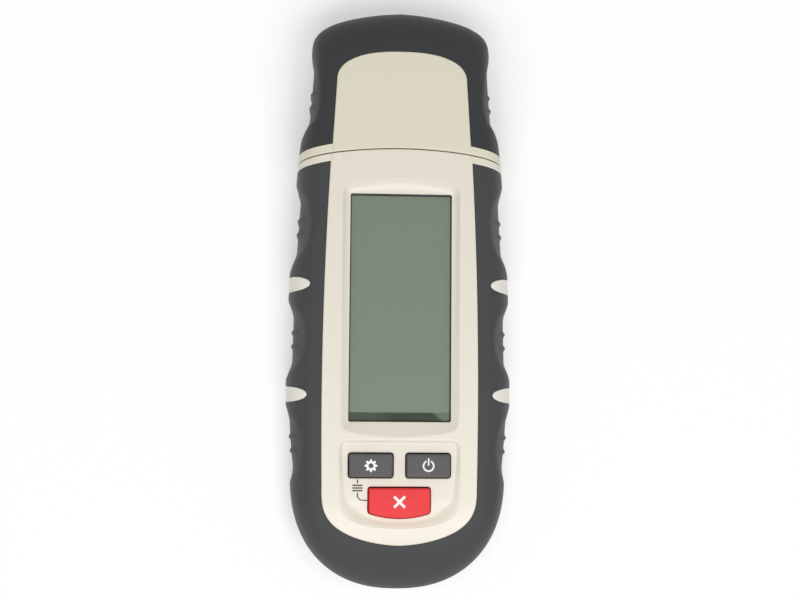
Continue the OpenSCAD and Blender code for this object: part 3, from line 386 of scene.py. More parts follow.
def moulded(name, code, grain, rough, bump, paint=None, cloud=0.05, **fixed):
    """Moulded plastic or rubber: a slow drift of tone, a fine grain in roughness and bump, and an
    optional paint(x, y, z, colour) over the base colour."""
    made, shade, wire = finish_of(name, **fixed)
    base, drift, fine = colour(code), noise(shade, 60.0), noise(shade, grain, 3.0, 0.6)
    tone = (0.5 * drift + 0.5 * fine).blend(lit_by(base, 1 - cloud), lit_by(base, 1 + cloud))
    if paint:
        tone = paint(*places(shade), tone)
    relief = shade.node("Bump", {"Height": fine, "Strength": bump, "Distance": 0.00006})
    wire(Base_Color=tone, Roughness=rough + 0.16 * (fine - 0.5), Normal=relief)
    return made


def beige_plastic(name, code="#e2dccd", paint=None):
    """The hard plastic of the cases, the door and the cap."""
    return moulded(name, code, 2600.0, 0.38, 0.12, paint, cloud=0.018)


side_steps = np.concatenate([np.linspace(band_foot, 26, 24), np.linspace(26, hip, 120)[1:]])
case_run = whole_run(body_side(side_steps), body_butt(np.linspace(0, np.pi / 2, 46)[1:]))
quarter = np.linspace(0, np.pi / 2, 6)
rise_angles = np.linspace(0, np.pi / 2, 28)
edge_column = len(rise_angles)


def panel_rim(run, side):
    """Rows of points up the wall of the panel and over its rounded edge, along the whole run."""
    _, panel, inward = run
    rows = [at_face(panel, side, edge_drop + grip_depth)]
    for a in quarter:
        plan = panel + inward * panel_edge * (1 - np.cos(a))
        rows.append(at_face(plan, side, panel_edge * (1 - np.sin(a))))
    return np.stack(rows)


def core_shoulder(run, side, hollows):
    """The hard shoulder under the grip, from the parting plane up to the foot of the panel's wall."""
    rises = [np.full(len(run[0]), phi) for phi in np.linspace(0, np.pi / 2, 14)]
    return np.stack([flank(run, side, grip_depth, phi, hollows) for phi in rises])


def half_section(sides, s, set_back, side):
    """The right shoulder at place s beside the seam, set in by a distance."""
    outline, panel, inward = sides(np.array([s]))
    start = np.broadcast_to(outline + inward * set_back, (len(rise_angles), 2))
    return shoulder(start, panel, side, edge_drop + set_back, rise_angles)


def band_section(sides, s, set_back, side):
    """A whole section there: right shoulder, face and left shoulder."""
    _, panel, inward = sides(np.array([s]))
    right = half_section(sides, s, set_back, side)
    brim = at_face(panel + inward * panel_edge, side, set_back)
    x = np.linspace(brim[0, 0], -brim[0, 0], 41)[1:-1]
    face = at_face(np.stack([x, s - seam_fall(x)], -1), side, set_back)
    return np.concatenate([right, brim, face, brim * flip, right[::-1] * flip])


def band(sides, foot, end, side):
    """Rows of a bare band from its foot to the seam, and of the rounded edge at its end."""
    back = rounding * np.sign(foot - end)
    rows = [band_section(sides, s, 0, side) for s in np.linspace(foot, end + back, 7)]
    bend = [band_section(sides, end + back * (1 - np.sin(a)), rounding * (1 - np.cos(a)), side)
            for a in quarter]
    return np.stack(rows), np.stack(bend)


def band_flanks(rows, bend, foot):
    """The band's two shoulders, its rounded edge and the steps down to the core under the grip."""
    step = np.stack([rows[0, :edge_column], foot])
    parts = [rows[:, :edge_column + 1], rows[:, -edge_column - 1:], bend, step, step * flip]
    return [sheet(part) for part in parts]


def seam_end(side):
    """The case's band, and its end wall around the opening for the neck."""
    rows, bend = band(body_side, band_foot, seam, side)
    wide, high = neck_half + 0.15
    a = np.linspace(0, np.pi / 2, 12)
    corner = np.stack([wide - 4 + 4 * np.cos(a), high - 4 + 4 * np.sin(a)], -1)
    arch = np.concatenate([[[wide, 0]], corner, corner[::-1] * [-1, 1], [[-wide, 0]]])[::-1]
    arch = along_seam(arch * [1, side] + [0, middle], seam)
    rim = np.concatenate([bend[-1], arch])
    wall = fill([rim], axes=(0, 2), border=0.05, lift=lambda plan: along_seam(plan, seam))
    flanks = band_flanks(rows, bend, half_section(body_side, band_foot, grip_depth, side))
    return rows, flanks + [sheet(np.stack([arch, arch - [0, 6, 0]]))] + wall


def panel_loop(rim, rows):
    """The closed edge of the panel: round the end, up one band, across the seam, down the other."""
    across = rows[-1, -edge_column - 2:edge_column:-1]
    return np.concatenate([rim[-1], rows[1:, -edge_column - 1], across, rows[:0:-1, edge_column]])


def inlay_share(y, place, depth, half):
    """Angle on the shoulder up to which the half-ellipse of an inlay reaches at y."""
    outline, panel, _ = body_side(y)
    reach = depth * np.sqrt(np.clip(1 - ((y - place) / half) ** 2, 0, 1))
    inset = outline[:, 0] - crest_half(np.array(place)) + reach
    return np.arccos((1 - np.clip(inset / (outline[:, 0] - panel[:, 0]), 0, 1)) ** 1.25)


def inlays(side):
    """Four hard lands that fill the grip's windows: pillows on the skin with rounded rims."""
    rim = [(0.85, 0), (0.93, 0.02), (0.97, 0.07), (1, 0.2), (1, 1.6)]
    patches = []
    for place in inlay_places:
        y = place + land_half * np.sin(np.linspace(-np.pi / 2, np.pi / 2, 25))
        outline, panel, inward = body_side(y)
        top = inlay_share(y, place, land_depth, land_half)
        land = np.stack([shoulder(outline + inward * depth, panel, side, edge_drop + depth, top * share)
                         for share, depth in [(0, 1.6), (0, 0), (0.2, 0), (0.45, 0), (0.7, 0)] + rim])
        patches += [sheet(land), sheet(land * flip)]
    return patches


def case_half(side):
    """What both cases share: the band, shoulders, rim and inlays, and the closed edge of the panel."""
    rim = panel_rim(case_run, side)
    rows, patches = seam_end(side)
    patches += [sheet(core_shoulder(case_run, side, finger_hollows)), sheet(rim)] + inlays(side)
    return patches, panel_loop(rim, rows)


def bay_mouth(slot_end):
    """Outline of the battery bay with the two slots for the door's hooks, in even steps."""
    slot = [[11.3, bay_high], [11.3, slot_end], [5.7, slot_end], [5.7, bay_high]]
    half = np.array([[bay_half, bay_low], [bay_half, bay_high]] + slot)
    return even_loop(np.concatenate([half, half[::-1] * [-1, 1]]), 1.2)


recess_gap, recess_floor = 0.3, 2.05
recess_low, recess_high, recess_half = door_low - recess_gap, door_high + recess_gap, door_half + recess_gap
notch, notch_radius = np.linspace(np.pi, 2 * np.pi, 26), 3.81
right_edge = np.array([[notch_radius, recess_low], [recess_half, recess_low], [recess_half, recess_high]])
straight = even_loop(np.concatenate([right_edge, right_edge[::-1] * [-1, 1]]), 0.6)
straight = straight[~((np.abs(straight[:, 0]) < 3.8) & (straight[:, 1] < door_low))]
notch_x, notch_y = notch_radius * np.cos(notch), notch_radius * np.sin(notch)
recess = np.concatenate([straight, np.stack([notch_x, recess_low + notch_y], -1)[1:-1]])
# The thumb notch is hollowed by a ball of 4.4 mm radius: rise = sqrt(R^2 - x^2 - y^2) - 2.2.
bowl_y = notch_y * np.linspace(1, 0, 9)[:, None]
bowl_x = notch_x * np.ones_like(bowl_y)
bowl_rise = np.sqrt(np.maximum(4.4**2 - bowl_x**2 - bowl_y**2, 0)) - 2.2
bowl = np.stack([bowl_x, recess_low + bowl_y, np.clip(bowl_rise, 0, recess_floor)], -1)
lip = bowl[-1]
well_rows = [(-0.12, 0), (0, 0.12), (0, 6.0), (2.3 - 1.25, 6.0)]
wells = [stack(circle(2.3, x, y), well_rows) for x, y in case_screw_places]

rear_patches, back_edge = case_half(-1)
rear_patches += fill([back_edge, level(recess, 0)] + [rows[0] for rows in wells], border=0.08)
rear_patches += [sheet(rows, around=True) for rows in wells]
rear_patches += [sheet(bowl), sheet(np.stack([lip, level(lip[:, :2], recess_floor)]))]
rear_patches.append(sheet(np.stack([level(straight, 0), level(straight, recess_floor)])))
mouth, undercut = bay_mouth(0.45), bay_mouth(3.9)
recess_edge = np.concatenate([straight, lip[1:-1, :2]])
rear_patches += fill([level(recess_edge, recess_floor), level(mouth, recess_floor)], border=0.05)
bay = rectangle(bay_half, (bay_high - bay_low) / 2, 1.2, 0, (bay_high + bay_low) / 2)
for loop, low, high in ((mouth, recess_floor, 2.1), (undercut, 2.1, 6.0), (bay, 6.0, bay_roof)):
    rear_patches.append(sheet(stack(loop, [(0, low), (0, high)]), around=True))
rear_patches += fill([level(bay, bay_roof)])
for x in hook_places:
    rear_patches += fill([level(rectangle(2.8, 1.725, 0.8, x, 2.175), 2.1)], border=0.05)
    rear_patches += fill([level(rectangle(2.8, 2.9, 0.8, x, 1.0), 6.0)], border=0.05)
rear_finish = beige_plastic("moulded_beige")
piece("rear_case_shell", rear_patches, "meter", rear_finish, ["rear_case"], wall=1.0)

# Battery contacts: six squares of nickel-plated spring steel, pressed into the ends of the bay.
# A dimple in the middle of each meets the button of a cell or stands inside a spring.
cell_axes, cell_height = (-10.8, 0.0, 10.8), 7.6


def metal(name, code, rough, streak):
    """Bare metal, streaked along one axis in its tone and its roughness."""
    made, shade, wire = finish_of(name, Metallic=1.0)
    drawn = shade.node("Mapping", {"Vector": shade.node("TexCoord", output="Object"), "Scale": streak})
    run = shade.node("TexNoise", {"Vector": drawn, "Scale": 1.0, "Detail": 3.0}, output="Fac")
    tone = run.blend(lit_by(colour(code), 0.8), colour(code))
    wire(Base_Color=tone, Roughness=rough + 0.2 * (run - 0.5))
    return made


def soft_loop(loop, reach, passes=2):
    """A closed loop whose corners are rounded by averaging each point with its neighbours."""
    for _ in range(passes):
        loop = np.mean([np.roll(loop, k, 0) for k in range(-reach, reach + 1)], 0)
    return loop


def disc(loop, rows):
    """A plan loop shrunk towards its middle, once for each (share, height) row."""
    share, height = np.array(rows, float).T
    return sheet(raised(loop.mean(0) + (loop - loop.mean(0)) * share[:, None, None], height), around=True)


def turned(patches, order, place=(0, 0, 0), way=(1, 1, 1)):
    """Patches with their axes put in another order, turned over and moved."""
    return [(points[:, list(order)] * way + place, faces) for points, faces in patches]


nickel = metal("nickel_plate", "#c8c5bc", 0.32, (1500, 300, 6000))
plate_rows = [(0, 0), (0.97, 0), (1, 0.08), (1, 0.32), (0.97, 0.4)]
plate_rows += [(0.5, 0.4), (0.42, 0.42), (0.34, 0.5), (0.2, 0.55), (0, 0.56)]
plate = disc(soft_loop(rectangle(4.3, 4.3, 0.3), 2), plate_rows)
plate_patches = []
for x in cell_axes:
    for y, way in ((-51.9, 1), (-2.0, -1)):
        plate_patches += turned([plate], (0, 2, 1), (x, y, cell_height), (1, way, 1))
piece("battery_plates", plate_patches, "meter", nickel, ["battery_contacts"])

# Battery springs: three cone springs wound from plated steel wire, one for each cell's flat end.
# Each stands with its wide turn on a contact plate and presses the cell against the other.
wire_steel = metal("spring_wire", "#b9bbbe", 0.28, (2500, 2500, 2500))
# Three turns of a cone: its radius falls from 3.6 to 2.2 mm as it rises, and the wire closes at both ends.
turns, around = np.linspace(0, 3, 109)[:, None], np.linspace(0, 2 * np.pi, 13)[:-1]
coil_wire = 0.34 * np.sqrt(np.clip(np.minimum(turns, 3 - turns) / 0.015, 0, 1))
coil_reach = 3.6 - 1.4 * turns / 3 + coil_wire * np.cos(around)
coil_rise = 0.36 + 3.44 * turns / 3 + coil_wire * np.sin(around)
coil_turn = turns * 2 * np.pi
coil = np.stack([coil_reach * np.cos(coil_turn), coil_rise, coil_reach * np.sin(coil_turn)], -1)
spring_patches = []
for x, y, way in zip(cell_axes, (-51.38, -2.52, -51.38), (1, -1, 1)):
    spring_patches += turned([sheet(coil, around=True)], (0, 1, 2), (x, y, cell_height), (1, way, 1))
piece("cone_springs", spring_patches, "meter", wire_steel, ["battery_springs"])

# Batteries: three small dry cells side by side, the middle one turned about. Each is a steel can
# in a printed shrink jacket, with a button at one end and a flat plate at the other.
def mark(made, name, value):
    """A number at every point of a piece, worked out from its place, for its finish to read."""
    place = np.empty(len(made.data.vertices) * 3, np.float32)
    made.data.vertices.foreach_get("co", place)
    numbers = value(place.reshape(-1, 3) * 1000).astype(np.float32)
    made.data.attributes.new(name, "FLOAT", "POINT").data.foreach_set("value", numbers)


def lathe(profile, count=40):
    """A (radius, height) profile turned about the upright axis, closed at both ends."""
    a = np.arange(count) / count * 2 * np.pi
    r, h = np.array(profile, float).T
    plans = np.stack([r[:, None] * np.cos(a), r[:, None] * np.sin(a)], -1)
    return sheet(raised(plans, h), around=True)


jacket, shade, wire = finish_of("cell_jacket", IOR=1.5)
along = shade.node("Attribute", attribute_name="along", output="Fac")
bare = shade.node("Attribute", attribute_name="bare", output="Fac")
print_noise = noise(shade, 500.0, 3.0)
wrap = (31.0 - along).below(0.0, 0.05).blend(colour("#2f3336"), colour("#b08a4e"))
wrap = abs(along - 31.0).below(0.35, 0.05).blend(wrap, colour("#e4e0d6"))
wrap = (0.12 * print_noise).blend(wrap, colour("#8a8a88"))
can = bare.blend(wrap, colour("#c9c8c4"))
wire(Base_Color=can, Metallic=bare.most(0.0), Roughness=0.3 + 0.15 * print_noise)
cell_rows = [(0, 0.12), (3.2, 0.12), (3.4, 0.0), (4.1, 0.0), (4.3, 0.12), (4.4, 0.3), (4.55, 0.22)]
cell_rows += [(4.9, 0.1), (5.1, 0.2), (5.2, 0.5), (5.2, 42.4), (5.15, 42.75), (4.95, 43.0), (4.6, 43.05)]
cell_rows += [(4.4, 42.95), (4.3, 43.1), (2.6, 43.25), (2.0, 43.35), (1.9, 43.5), (1.9, 44.3)]
cell_rows += [(1.75, 44.47), (1.4, 44.5), (0, 44.5)]
for name, x, y, way in zip(("left", "middle", "right"), cell_axes, (-47.1, -6.8, -47.1), (1, -1, 1)):
    can_patches = turned([lathe(cell_rows, 56)], (0, 2, 1), (x, y, cell_height), (1, way, 1))
    cell = piece("dry_cell_" + name, can_patches, "meter", jacket, ["battery_cell_" + name])
    mark(cell, "along", lambda q: (q[:, 1] - y) * way)
    mark(cell, "bare", lambda q: ((np.hypot(q[:, 0] - x, q[:, 2] - cell_height) < 4.5)
                                  & (np.abs((q[:, 1] - y) * way - 22) > 20)) * 1.0)

# Battery door: a beige moulded plate that lies in the back and turns about a rounded edge. Two hooks
# hold it at the top, and a springy tongue between two slots clicks under the case at the bottom.
def spaced(loop, step):
    """A closed loop walked again in even steps."""
    whole = np.concatenate([loop, loop[:1]])
    far = np.concatenate([[0], np.cumsum(np.linalg.norm(np.diff(whole, axis=0), axis=1))])
    at = np.linspace(0, far[-1], int(round(far[-1] / step)) + 1)[:-1]
    return np.stack([np.interp(at, far, whole[:, k]) for k in (0, 1)], -1)


def soft_rows(low, high, radius, steps=4):
    """(inset, height) rows of a plate with quarter-round edges."""
    a = np.linspace(0, np.pi / 2, steps + 1)
    inset, reach = radius * (1 - np.sin(a)), radius * (1 - np.cos(a))
    return np.concatenate([np.stack([inset, low + reach], -1), np.stack([inset, high - reach], -1)[::-1]])


def rounded(half_x, half_y, corner, run_steps=8, bend_steps=10):
    """A rectangle with round corners, turning left, always in the same number of points."""
    a = np.linspace(0, np.pi / 2, bend_steps)
    arc = corner * np.stack([np.cos(a), np.sin(a)], -1)
    hearts = np.array([[1, 1], [-1, 1], [-1, -1], [1, -1]]) * [half_x - corner, half_y - corner]
    quarters = [arc, arc[::-1] * [-1, 1], -arc, arc[::-1] * [1, -1]]
    bends = [heart + turn for heart, turn in zip(hearts, quarters)]
    runs = [np.linspace(bends[k][-1], bends[(k + 1) % 4][0], run_steps + 2)[1:-1] for k in range(4)]
    return np.concatenate([part for pair in zip(bends, runs) for part in pair])


def prism(loop, rows):
    """A stack of rows closed with flat ends."""
    rings = stack(loop, rows)
    return [sheet(rings, around=True)] + fill([rings[0]], border=0.05) + fill([rings[-1]], border=0.05)


slot_high = door_low + 6.5
half_door = [[0, door_low], [4.95, door_low], [4.95, slot_high], [5.75, slot_high], [5.75, door_low]]
half_door = np.array(half_door + [[door_half, door_low], [door_half, door_high]])
door_plan = soft_loop(spaced(np.concatenate([half_door, half_door[:0:-1] * [-1, 1]]), 0.2), 1)
hinge_share = ease((door_plan[:, 1] + 0.4) / 0.5)[:, None]
door_inward = set_in(door_plan, 1.0) - door_plan
door_rows = []
for sharp_row, round_row in zip(soft_rows(0.2, 2.0, 0.1, 6), soft_rows(0.2, 2.0, 0.85, 6)):
    inset, height = np.split(sharp_row + (round_row - sharp_row) * hinge_share, 2, axis=1)
    door_rows.append(np.concatenate([door_plan + door_inward * inset, height], -1))
thumb_line = spaced(rounded(3.6, 0.28, 0.26), 0.12)
thumb_lines = [stack(thumb_line + [0, door_low + 1.2 + 1.1 * k], [(0, 0.2), (0.04, 0.34), (0.14, 0.46)])
               for k in range(5)]
door_patches = [sheet(np.stack(door_rows), around=True)] + fill([door_rows[-1]], border=0.03)
door_patches += fill([door_rows[0]] + [rows[0] for rows in thumb_lines], border=0.03)
for rows in thumb_lines:
    door_patches += [sheet(rows, around=True)] + fill([rows[-1]], border=0.02)
hook_corners = np.array([[-1.2, 1.2], [0.0, 1.2], [0.0, 2.15], [3.3, 2.15], [3.3, 3.25], [-1.2, 3.25]])
hook = prism(soft_loop(even_loop(hook_corners, 0.08), 3), soft_rows(-2.5, 2.5, 0.1))
for x in hook_places:
    door_patches += turned(hook, (2, 0, 1), (x, 0, 0))
door_finish = beige_plastic("moulded_beige_door")
piece("battery_cover", door_patches, "door", door_finish, ["battery_door"])

# Electrode head: a black glass-filled block that is screwed between the two cases and carries the
# needles. Its rounded neck stands out through the seam and guides the cap as it is pushed on.
head_finish = moulded("glass_filled_black", "#232426", 1800.0, 0.42, 0.12, cloud=0.12)
needle_places, neck_end = (-13.0, 13.0), 53.8
head_patches = prism(rounded(21.0, 9.4, 4.0), soft_rows(33.7, 36.2, 0.3))
neck_rings = stack(rounded(*neck_half, 4.0), soft_rows(35.6, neck_end, 0.6))
socket_edges = [level(circle(2.42, x, 0), neck_end) for x in needle_places]
head_patches += [sheet(neck_rings, around=True)] + fill([neck_rings[0]])
head_patches += fill([neck_rings[-1]] + socket_edges)
head_patches += [sheet(np.stack([ring, ring - [0, 0, 3]]), around=True) for ring in socket_edges]
head_patches = turned(head_patches, (0, 2, 1), (0, 0, middle))
piece("electrode_block", head_patches, "meter", head_finish, ["electrode_head"])

# Electrode nuts and needles: two brass hexagons hold two hardened steel needles in their sockets.
# The needles are ground to long points, which are pushed into the wood.
brass = metal("turned_brass", "#c9a85e", 0.3, (300, 6000, 300))
steel = metal("ground_steel", "#cfd0d2", 0.26, (5000, 400, 5000))
# A hexagon's reach is its half width over the cosine of the angle from the nearest flat; the cone of the
# chamfer cuts off its corners.
a = np.linspace(0, 2 * np.pi, 97)[:-1]
flat_to_flat = 3.5 / np.cos((a + np.pi / 6) % (np.pi / 3) - np.pi / 6)
nut_rows = np.array([(0.95, 0.0), (3.45, 0.0), (4.04, 0.34), (4.04, 3.16),
                     (3.45, 3.5), (2.3, 3.5), (1.5, 3.25), (0.95, 3.25)])
nut_reach = np.minimum(flat_to_flat, nut_rows[:, :1])
nut = np.stack([nut_reach * np.cos(a), nut_rows[:, 1:] + 0 * a, nut_reach * np.sin(a)], -1)
needle_rows = [(0.0, 41.7), (0.82, 41.7), (0.9, 41.8), (0.9, 66.6), (0.86, 66.9)]
needle_rows += [(0.5, 69.2), (0.12, 71.5), (0.05, 71.75), (0.0, 71.8)]
nut_patches, needle_patches = [], []
for x in needle_places:
    nut_patches += turned([sheet(nut, around=True)], (0, 1, 2), (x, neck_end, middle))
    needle_patches += turned([lathe(needle_rows, 32)], (0, 2, 1), (x, 0, middle))
piece("needle_nuts", nut_patches, "meter", brass, ["electrode_nuts"])
piece("needles", needle_patches, "meter", steel, ["electrode_needles"])

# Board, buzzer, light guide, holder and the other works: bought and pressed pieces that the closed
# case hides. They keep their made shapes and take finishes of their own.
def dressed(names, finish):
    """Finish for pieces whose shapes stay as they were made."""
    for name in names:
        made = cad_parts[name]
        made.data.materials.clear()
        made.data.materials.append(finish)


def copper_lines(x, y, z, tone):
    """A board's tracks: lines 1.2 mm apart that run along the board, broken up by a slow noise."""
    wander = noise(x, 90.0, 0.0)
    comb = abs(x.math("SINE", x * 2600.0 + 3.0 * wander))
    return (comb.below(0.2, 0.05) * (wander - 0.45).below(0.0, 0.02)).blend(tone, colour("#4f8a4c"))


board_finish = moulded("green_board", "#1f5a34", 1200.0, 0.4, 0.05, copper_lines, cloud=0.08)
dressed(["main_board"], board_finish)
for names, name, code, grain, rough, bump, cloud, slot in (
        (["board_chips", "buzzer"], "black_package", "#1c1d1f", 3000.0, 0.5, 0.1, 0.15, "chip_black"),
        (["light_guide_plate"], "white_guide", "#ecefec", 700.0, 0.25, 0.02, 0.02, "light_white"),
        (["display_holder"], "holder_grey", "#3a3c3e", 2000.0, 0.5, 0.1, 0.1, "head_black"),
        (["contact_strip"], "striped_rubber", "#2a2a2c", 1500.0, 0.6, 0.1, 0.2, "strip_dark"),
        (["keypad_sheet"], "keypad_silicone", "#6a686a", 1500.0, 0.55, 0.08, 0.05, "key_grey"),
        (["set_key_pill", "mode_key_pill", "clear_key_pill"],
         "carbon_pill", "#161617", 2500.0, 0.6, 0.2, 0.2, "carbon")):
    dressed(names, moulded(name, code, grain, rough, bump, cloud=cloud))
dressed(["electrode_sockets"], brass)
dressed(["electrode_leads", "board_screws"], steel)

# Case screws: four plated self-tapping screws in wells in the back, which draw the two cases together.
# Each has a low round head with a cross recess and a coarse thread.
# The recess is two crossed bars with eased walls. The thread's ridge is 0.2 (2 |f - 1/2|)^2 high, where f is
# the share of a turn at each point, with 12.8 turns along the shank.
turn = np.linspace(0, 2 * np.pi, 73)[:-1]
reach = np.linspace(0, 1, 15)[:, None] ** 0.8 * 1.95
cross_x, cross_y = np.abs(reach * np.cos(turn)), np.abs(reach * np.sin(turn))
bar_up = ease((0.42 - cross_x) / 0.16) * ease((1.35 - cross_y) / 0.25)
bar_across = ease((0.42 - cross_y) / 0.16) * ease((1.35 - cross_x) / 0.25)
head_rise = 3.82 + 0.35 * (reach / 1.95) ** 2 + 0.9 * np.maximum(bar_up, bar_across)
edge_rows = np.array([(2.05, 4.25), (2.1, 4.4), (2.1, 5.8), (2.0, 5.96), (1.2, 5.98)])
down = np.linspace(0, 1, 150)[:, None]
thread = 0.98 + 0.2 * (2 * np.abs((turn / (2 * np.pi) - down * 12.8) % 1 - 0.5)) ** 2 * ease((1 - down) * 12)
thread = thread * np.clip((1 - down) * 18, 0, 1) ** 0.5
screw_rings = []
for far, high in ((reach, head_rise), (edge_rows[:, :1], edge_rows[:, 1:]), (thread, 5.98 + 13.9 * down)):
    screw_rings.append(np.stack([far * np.cos(turn), far * np.sin(turn), high + 0 * turn], -1))
screw_patches = []
for x, y in case_screw_places:
    screw_patches += turned([sheet(np.concatenate(screw_rings), around=True)], (0, 1, 2), (x, y, 0))
piece("case_screw_set", screw_patches, "meter", steel, ["case_screws"])

# Front case: the moulded face of the meter, in the same beige ABS as the back. A dished frame leads
# down to the display window, and a shallow field below it lets the three keys through.
face_high, window_place, key_places, key_gap = 2 * middle, -3.8, [(-7.9, -47.5), (7.9, -47.5)], 0.33
field_half, field_high = 16.8, 25.3


def window_frame(half, reach, bow=0.0):
    """A rectangle about the window's middle whose short sides bow outwards: y = reach + bow (1 - t^2)."""
    t, u = np.linspace(-1, 1, 61)[:-1], np.linspace(-1, 1, 121)[:-1]
    long_side = np.stack([np.full(120, half), reach * u], -1)
    short_side = np.stack([-half * t, reach + bow * (1 - t**2)], -1)
    return np.concatenate([long_side, short_side, -long_side, -short_side]) + [0, window_place]


def key_loop(place, grow=0.0):
    """Plan of a grey key: a rectangle with rounded corners."""
    return set_in(soft_loop(rectangle(6.0, 3.2, 0.2, *place), 2), -grow)


def clear_loop(grow=0.0):
    """Plan of the red key: straight at the top and sides, and bowed along its lower edge."""
    x = np.linspace(-8.5, 8.5, 60)
    low = np.stack([x, -60.4 - 1.4 * (1 - (x / 8.5) ** 2)], -1)
    whole = np.concatenate([low, [[8.5, -53.5], [-8.5, -53.5]]])
    return set_in(soft_loop(spaced(whole, 0.2), 2), 0.1 - grow)


def field_loop():
    """Plan of the key field: square-shouldered at the top, a superellipse of power 2.6 at the bottom."""
    low = round_end(field_half, 9.15, 2.6, np.linspace(0, np.pi / 2, 60)) * [1, -1] + [0, -56]
    plan = np.concatenate([low * [-1, 1], low[-2::-1], [[field_half, -40.4], [-field_half, -40.4]]])
    return soft_loop(spaced(plan, 0.35), 5)


def field_floor(y):
    """Height of the key field's floor, sinking by 0.35 mm over the last 6 mm before its lower rim."""
    return field_high - 0.35 * ease((-56.5 - y) / 6)


def front_lift(plan):
    """Points of a plan at the height of the rolled face."""
    return at_face(plan, 1)


def from_middle(x, y):
    """sqrt(x^2 + y^2) of two sockets."""
    return x.math("SQRT", x * x + y * y)


def face_paint(x, y, z, tone):
    """Painted light, painted shade and print. The inlays out at the flanks are painted a little whiter and
    cooler than the face, as painted light bounced onto them; they are the same plastic. The pocket behind the
    lens is painted dark as painted shade, so that no pale edge shows beside the display. A thin black line
    with three short bars is printed between the left grey key and the red key."""
    # Painted light: the inlays are the face's own plastic, lightened and cooled for the light bounced onto
    # the flanks.
    inlay = (0.0235 - abs(x)).below(0.0) * y.below(0.03)
    tone = inlay.blend(tone, colour("#e5e1d8"))
    along = y - window_place * 0.001
    # Painted shade: the walls of the pocket behind the lens are painted dark for the shade in that deep gap.
    inside = abs(x).below(0.01427) * along.below(0.03187) * (-0.0317 - along).below(0.0) * z.below(0.02446)
    tone = inside.blend(tone, colour("#2c302a"))
    across, along, thin, soft = x + 0.0115, y + 0.05365, 0.00018, 0.00004
    bars = abs(abs(along) - 0.00072).least(abs(along)).below(0.00021, soft) * abs(across).below(0.0014, soft)
    upright = abs(across).below(thin, soft) * abs(abs(along) - 0.0018).below(0.00055, soft)
    turn_x, turn_y, radius = x + 0.0101, y + 0.0556, 0.0014
    ring = abs(from_middle(turn_x, turn_y) - radius).below(thin, soft)
    bend = ring * turn_x.below(0.0, soft) * turn_y.below(0.0, soft)
    foot = abs(turn_y + radius).below(thin, soft) * abs(turn_x - 0.0006).below(0.0007, soft)
    ink = bars.most(upright).most(bend).most(foot) * (0.0252 - z).below(0.0)
    return ink.blend(tone, colour("#26241f"))


dish_rim, dish_foot = soft_loop(window_frame(16.4, 34.1, 1.9), 3), soft_loop(window_frame(14.23, 31.83), 1, 1)
# The dish falls by 1.5 (1 - (1 - t)^n) from its rim to its foot: n is 2.2 at the cap's end, where it is
# steep at first, and 1 at the butt's end, where it is even. A factor t / (t + 0.02) rounds its rim.
dish_shares = np.linspace(0, 1, 18)[:, None] ** 1.6
dish_slope = dish_foot - dish_rim
dish_way = dish_slope[:, 1] / np.hypot(dish_slope[:, 0], dish_slope[:, 1])
dish_drop = 1 - (1 - dish_shares) ** (1.35 - 0.6 * dish_way + 0.25 * dish_way**2)
dish_drop = 1.5 * dish_drop * 1.02 * dish_shares / (dish_shares + 0.02)
dish_plan = dish_rim + dish_slope * dish_shares[..., None]
dish = np.concatenate([dish_plan, face_high - dish_drop[..., None]], -1)
ledge = window_frame(13.97, 31.57)
pocket = np.stack([dish[-1], level(dish_foot, 23.1), level(ledge, 23.1), level(ledge, 22.2)])
# The field's edge leads down in soft steps, over a reach that widens towards the butt, into a faint groove.
field = field_loop()
field_face = half_thickness(field[:, 1], 1) + middle
field_inward = set_in(field, 1.0) - field
field_depth, field_lead = field_face - field_floor(field[:, 1]), face_high - field_face
field_reach = field_depth * (1 + 1.5 * ease((-44 - field[:, 1]) / 20))
rim_plan = field + field_inward * (field_lead - 0.15 * field_depth)[:, None]
field_rows = [front_lift(rim_plan)]
field_slope = [(0.0, 0.03, 0), (0.2, 0.08, 0), (0.4, 0.19, 0), (0.6, 0.34, 0), (0.8, 0.51, 0.01)]
field_slope += [(1.0, 0.68, 0.03), (1.2, 0.83, 0.04), (1.4, 0.94, 0.02), (1.6, 1.0, 0)]
for inset, depth, groove in field_slope:
    plan = field + field_inward * (field_lead + inset * field_reach)[:, None]
    high = field_face - depth * field_depth - groove * ease(-field_inward[:, 1])
    field_rows.append(np.concatenate([plan, high[:, None]], -1))
hole_loops = [key_loop(place, key_gap) for place in key_places] + [clear_loop(key_gap)]
hole_rows = [(-0.1, field_high), (-0.03, 25.27), (0, 25.2), (0, 23.3)]
key_holes = [stack(loop, hole_rows) for loop in hole_loops]
key_holes[2][:3, :, 2] += field_floor(key_holes[2][:3, :, 1]) - field_high
roll_x, roll_y = np.meshgrid(np.linspace(-20.4, 20.4, 35), np.linspace(-68.5, -55.2, 14))
roll_points = front_lift(np.stack([roll_x.ravel(), roll_y.ravel()], -1))

front_patches, face_edge = case_half(1)
front_patches += [sheet(rows, around=True) for rows in [dish, pocket, np.stack(field_rows)] + key_holes]
front_patches += fill([face_edge, dish[0], field_rows[0]], loose=roll_points, lift=front_lift)
front_patches += fill([field_rows[-1]] + [rows[0] for rows in key_holes], border=0.08)
front_finish = beige_plastic("moulded_beige_face", paint=face_paint)
piece("front_case_shell", front_patches, "meter", front_finish, ["front_case"], wall=1.0)

# Display: a clear window lens on a thin adhesive frame, over a grey-green liquid-crystal cell. The
# cell lies in its holder on a white light guide, and a rubber strip joins it to the board.
def seen_glass(x, y, z, tone):
    """Grey-green glass with a painted shadow along the lower edge: the shadow of its holder, painted as a
    dark band, a little weaker at the left, that breaks off at a slant on the right and leaves less than half
    its strength there."""
    # Painted shadow: a dark band along the lower edge of the cell.
    low = y + 0.0351
    shadow = low.below(0.0021, 0.00025) * (0.4 + 0.6 * (x + low - 0.0115).below(0.0, 0.0009))
    shadow = shadow * (1 - 0.15 * x.below(-0.004, 0.004))
    return (shadow * 0.95).blend(tone, colour("#182a18"))


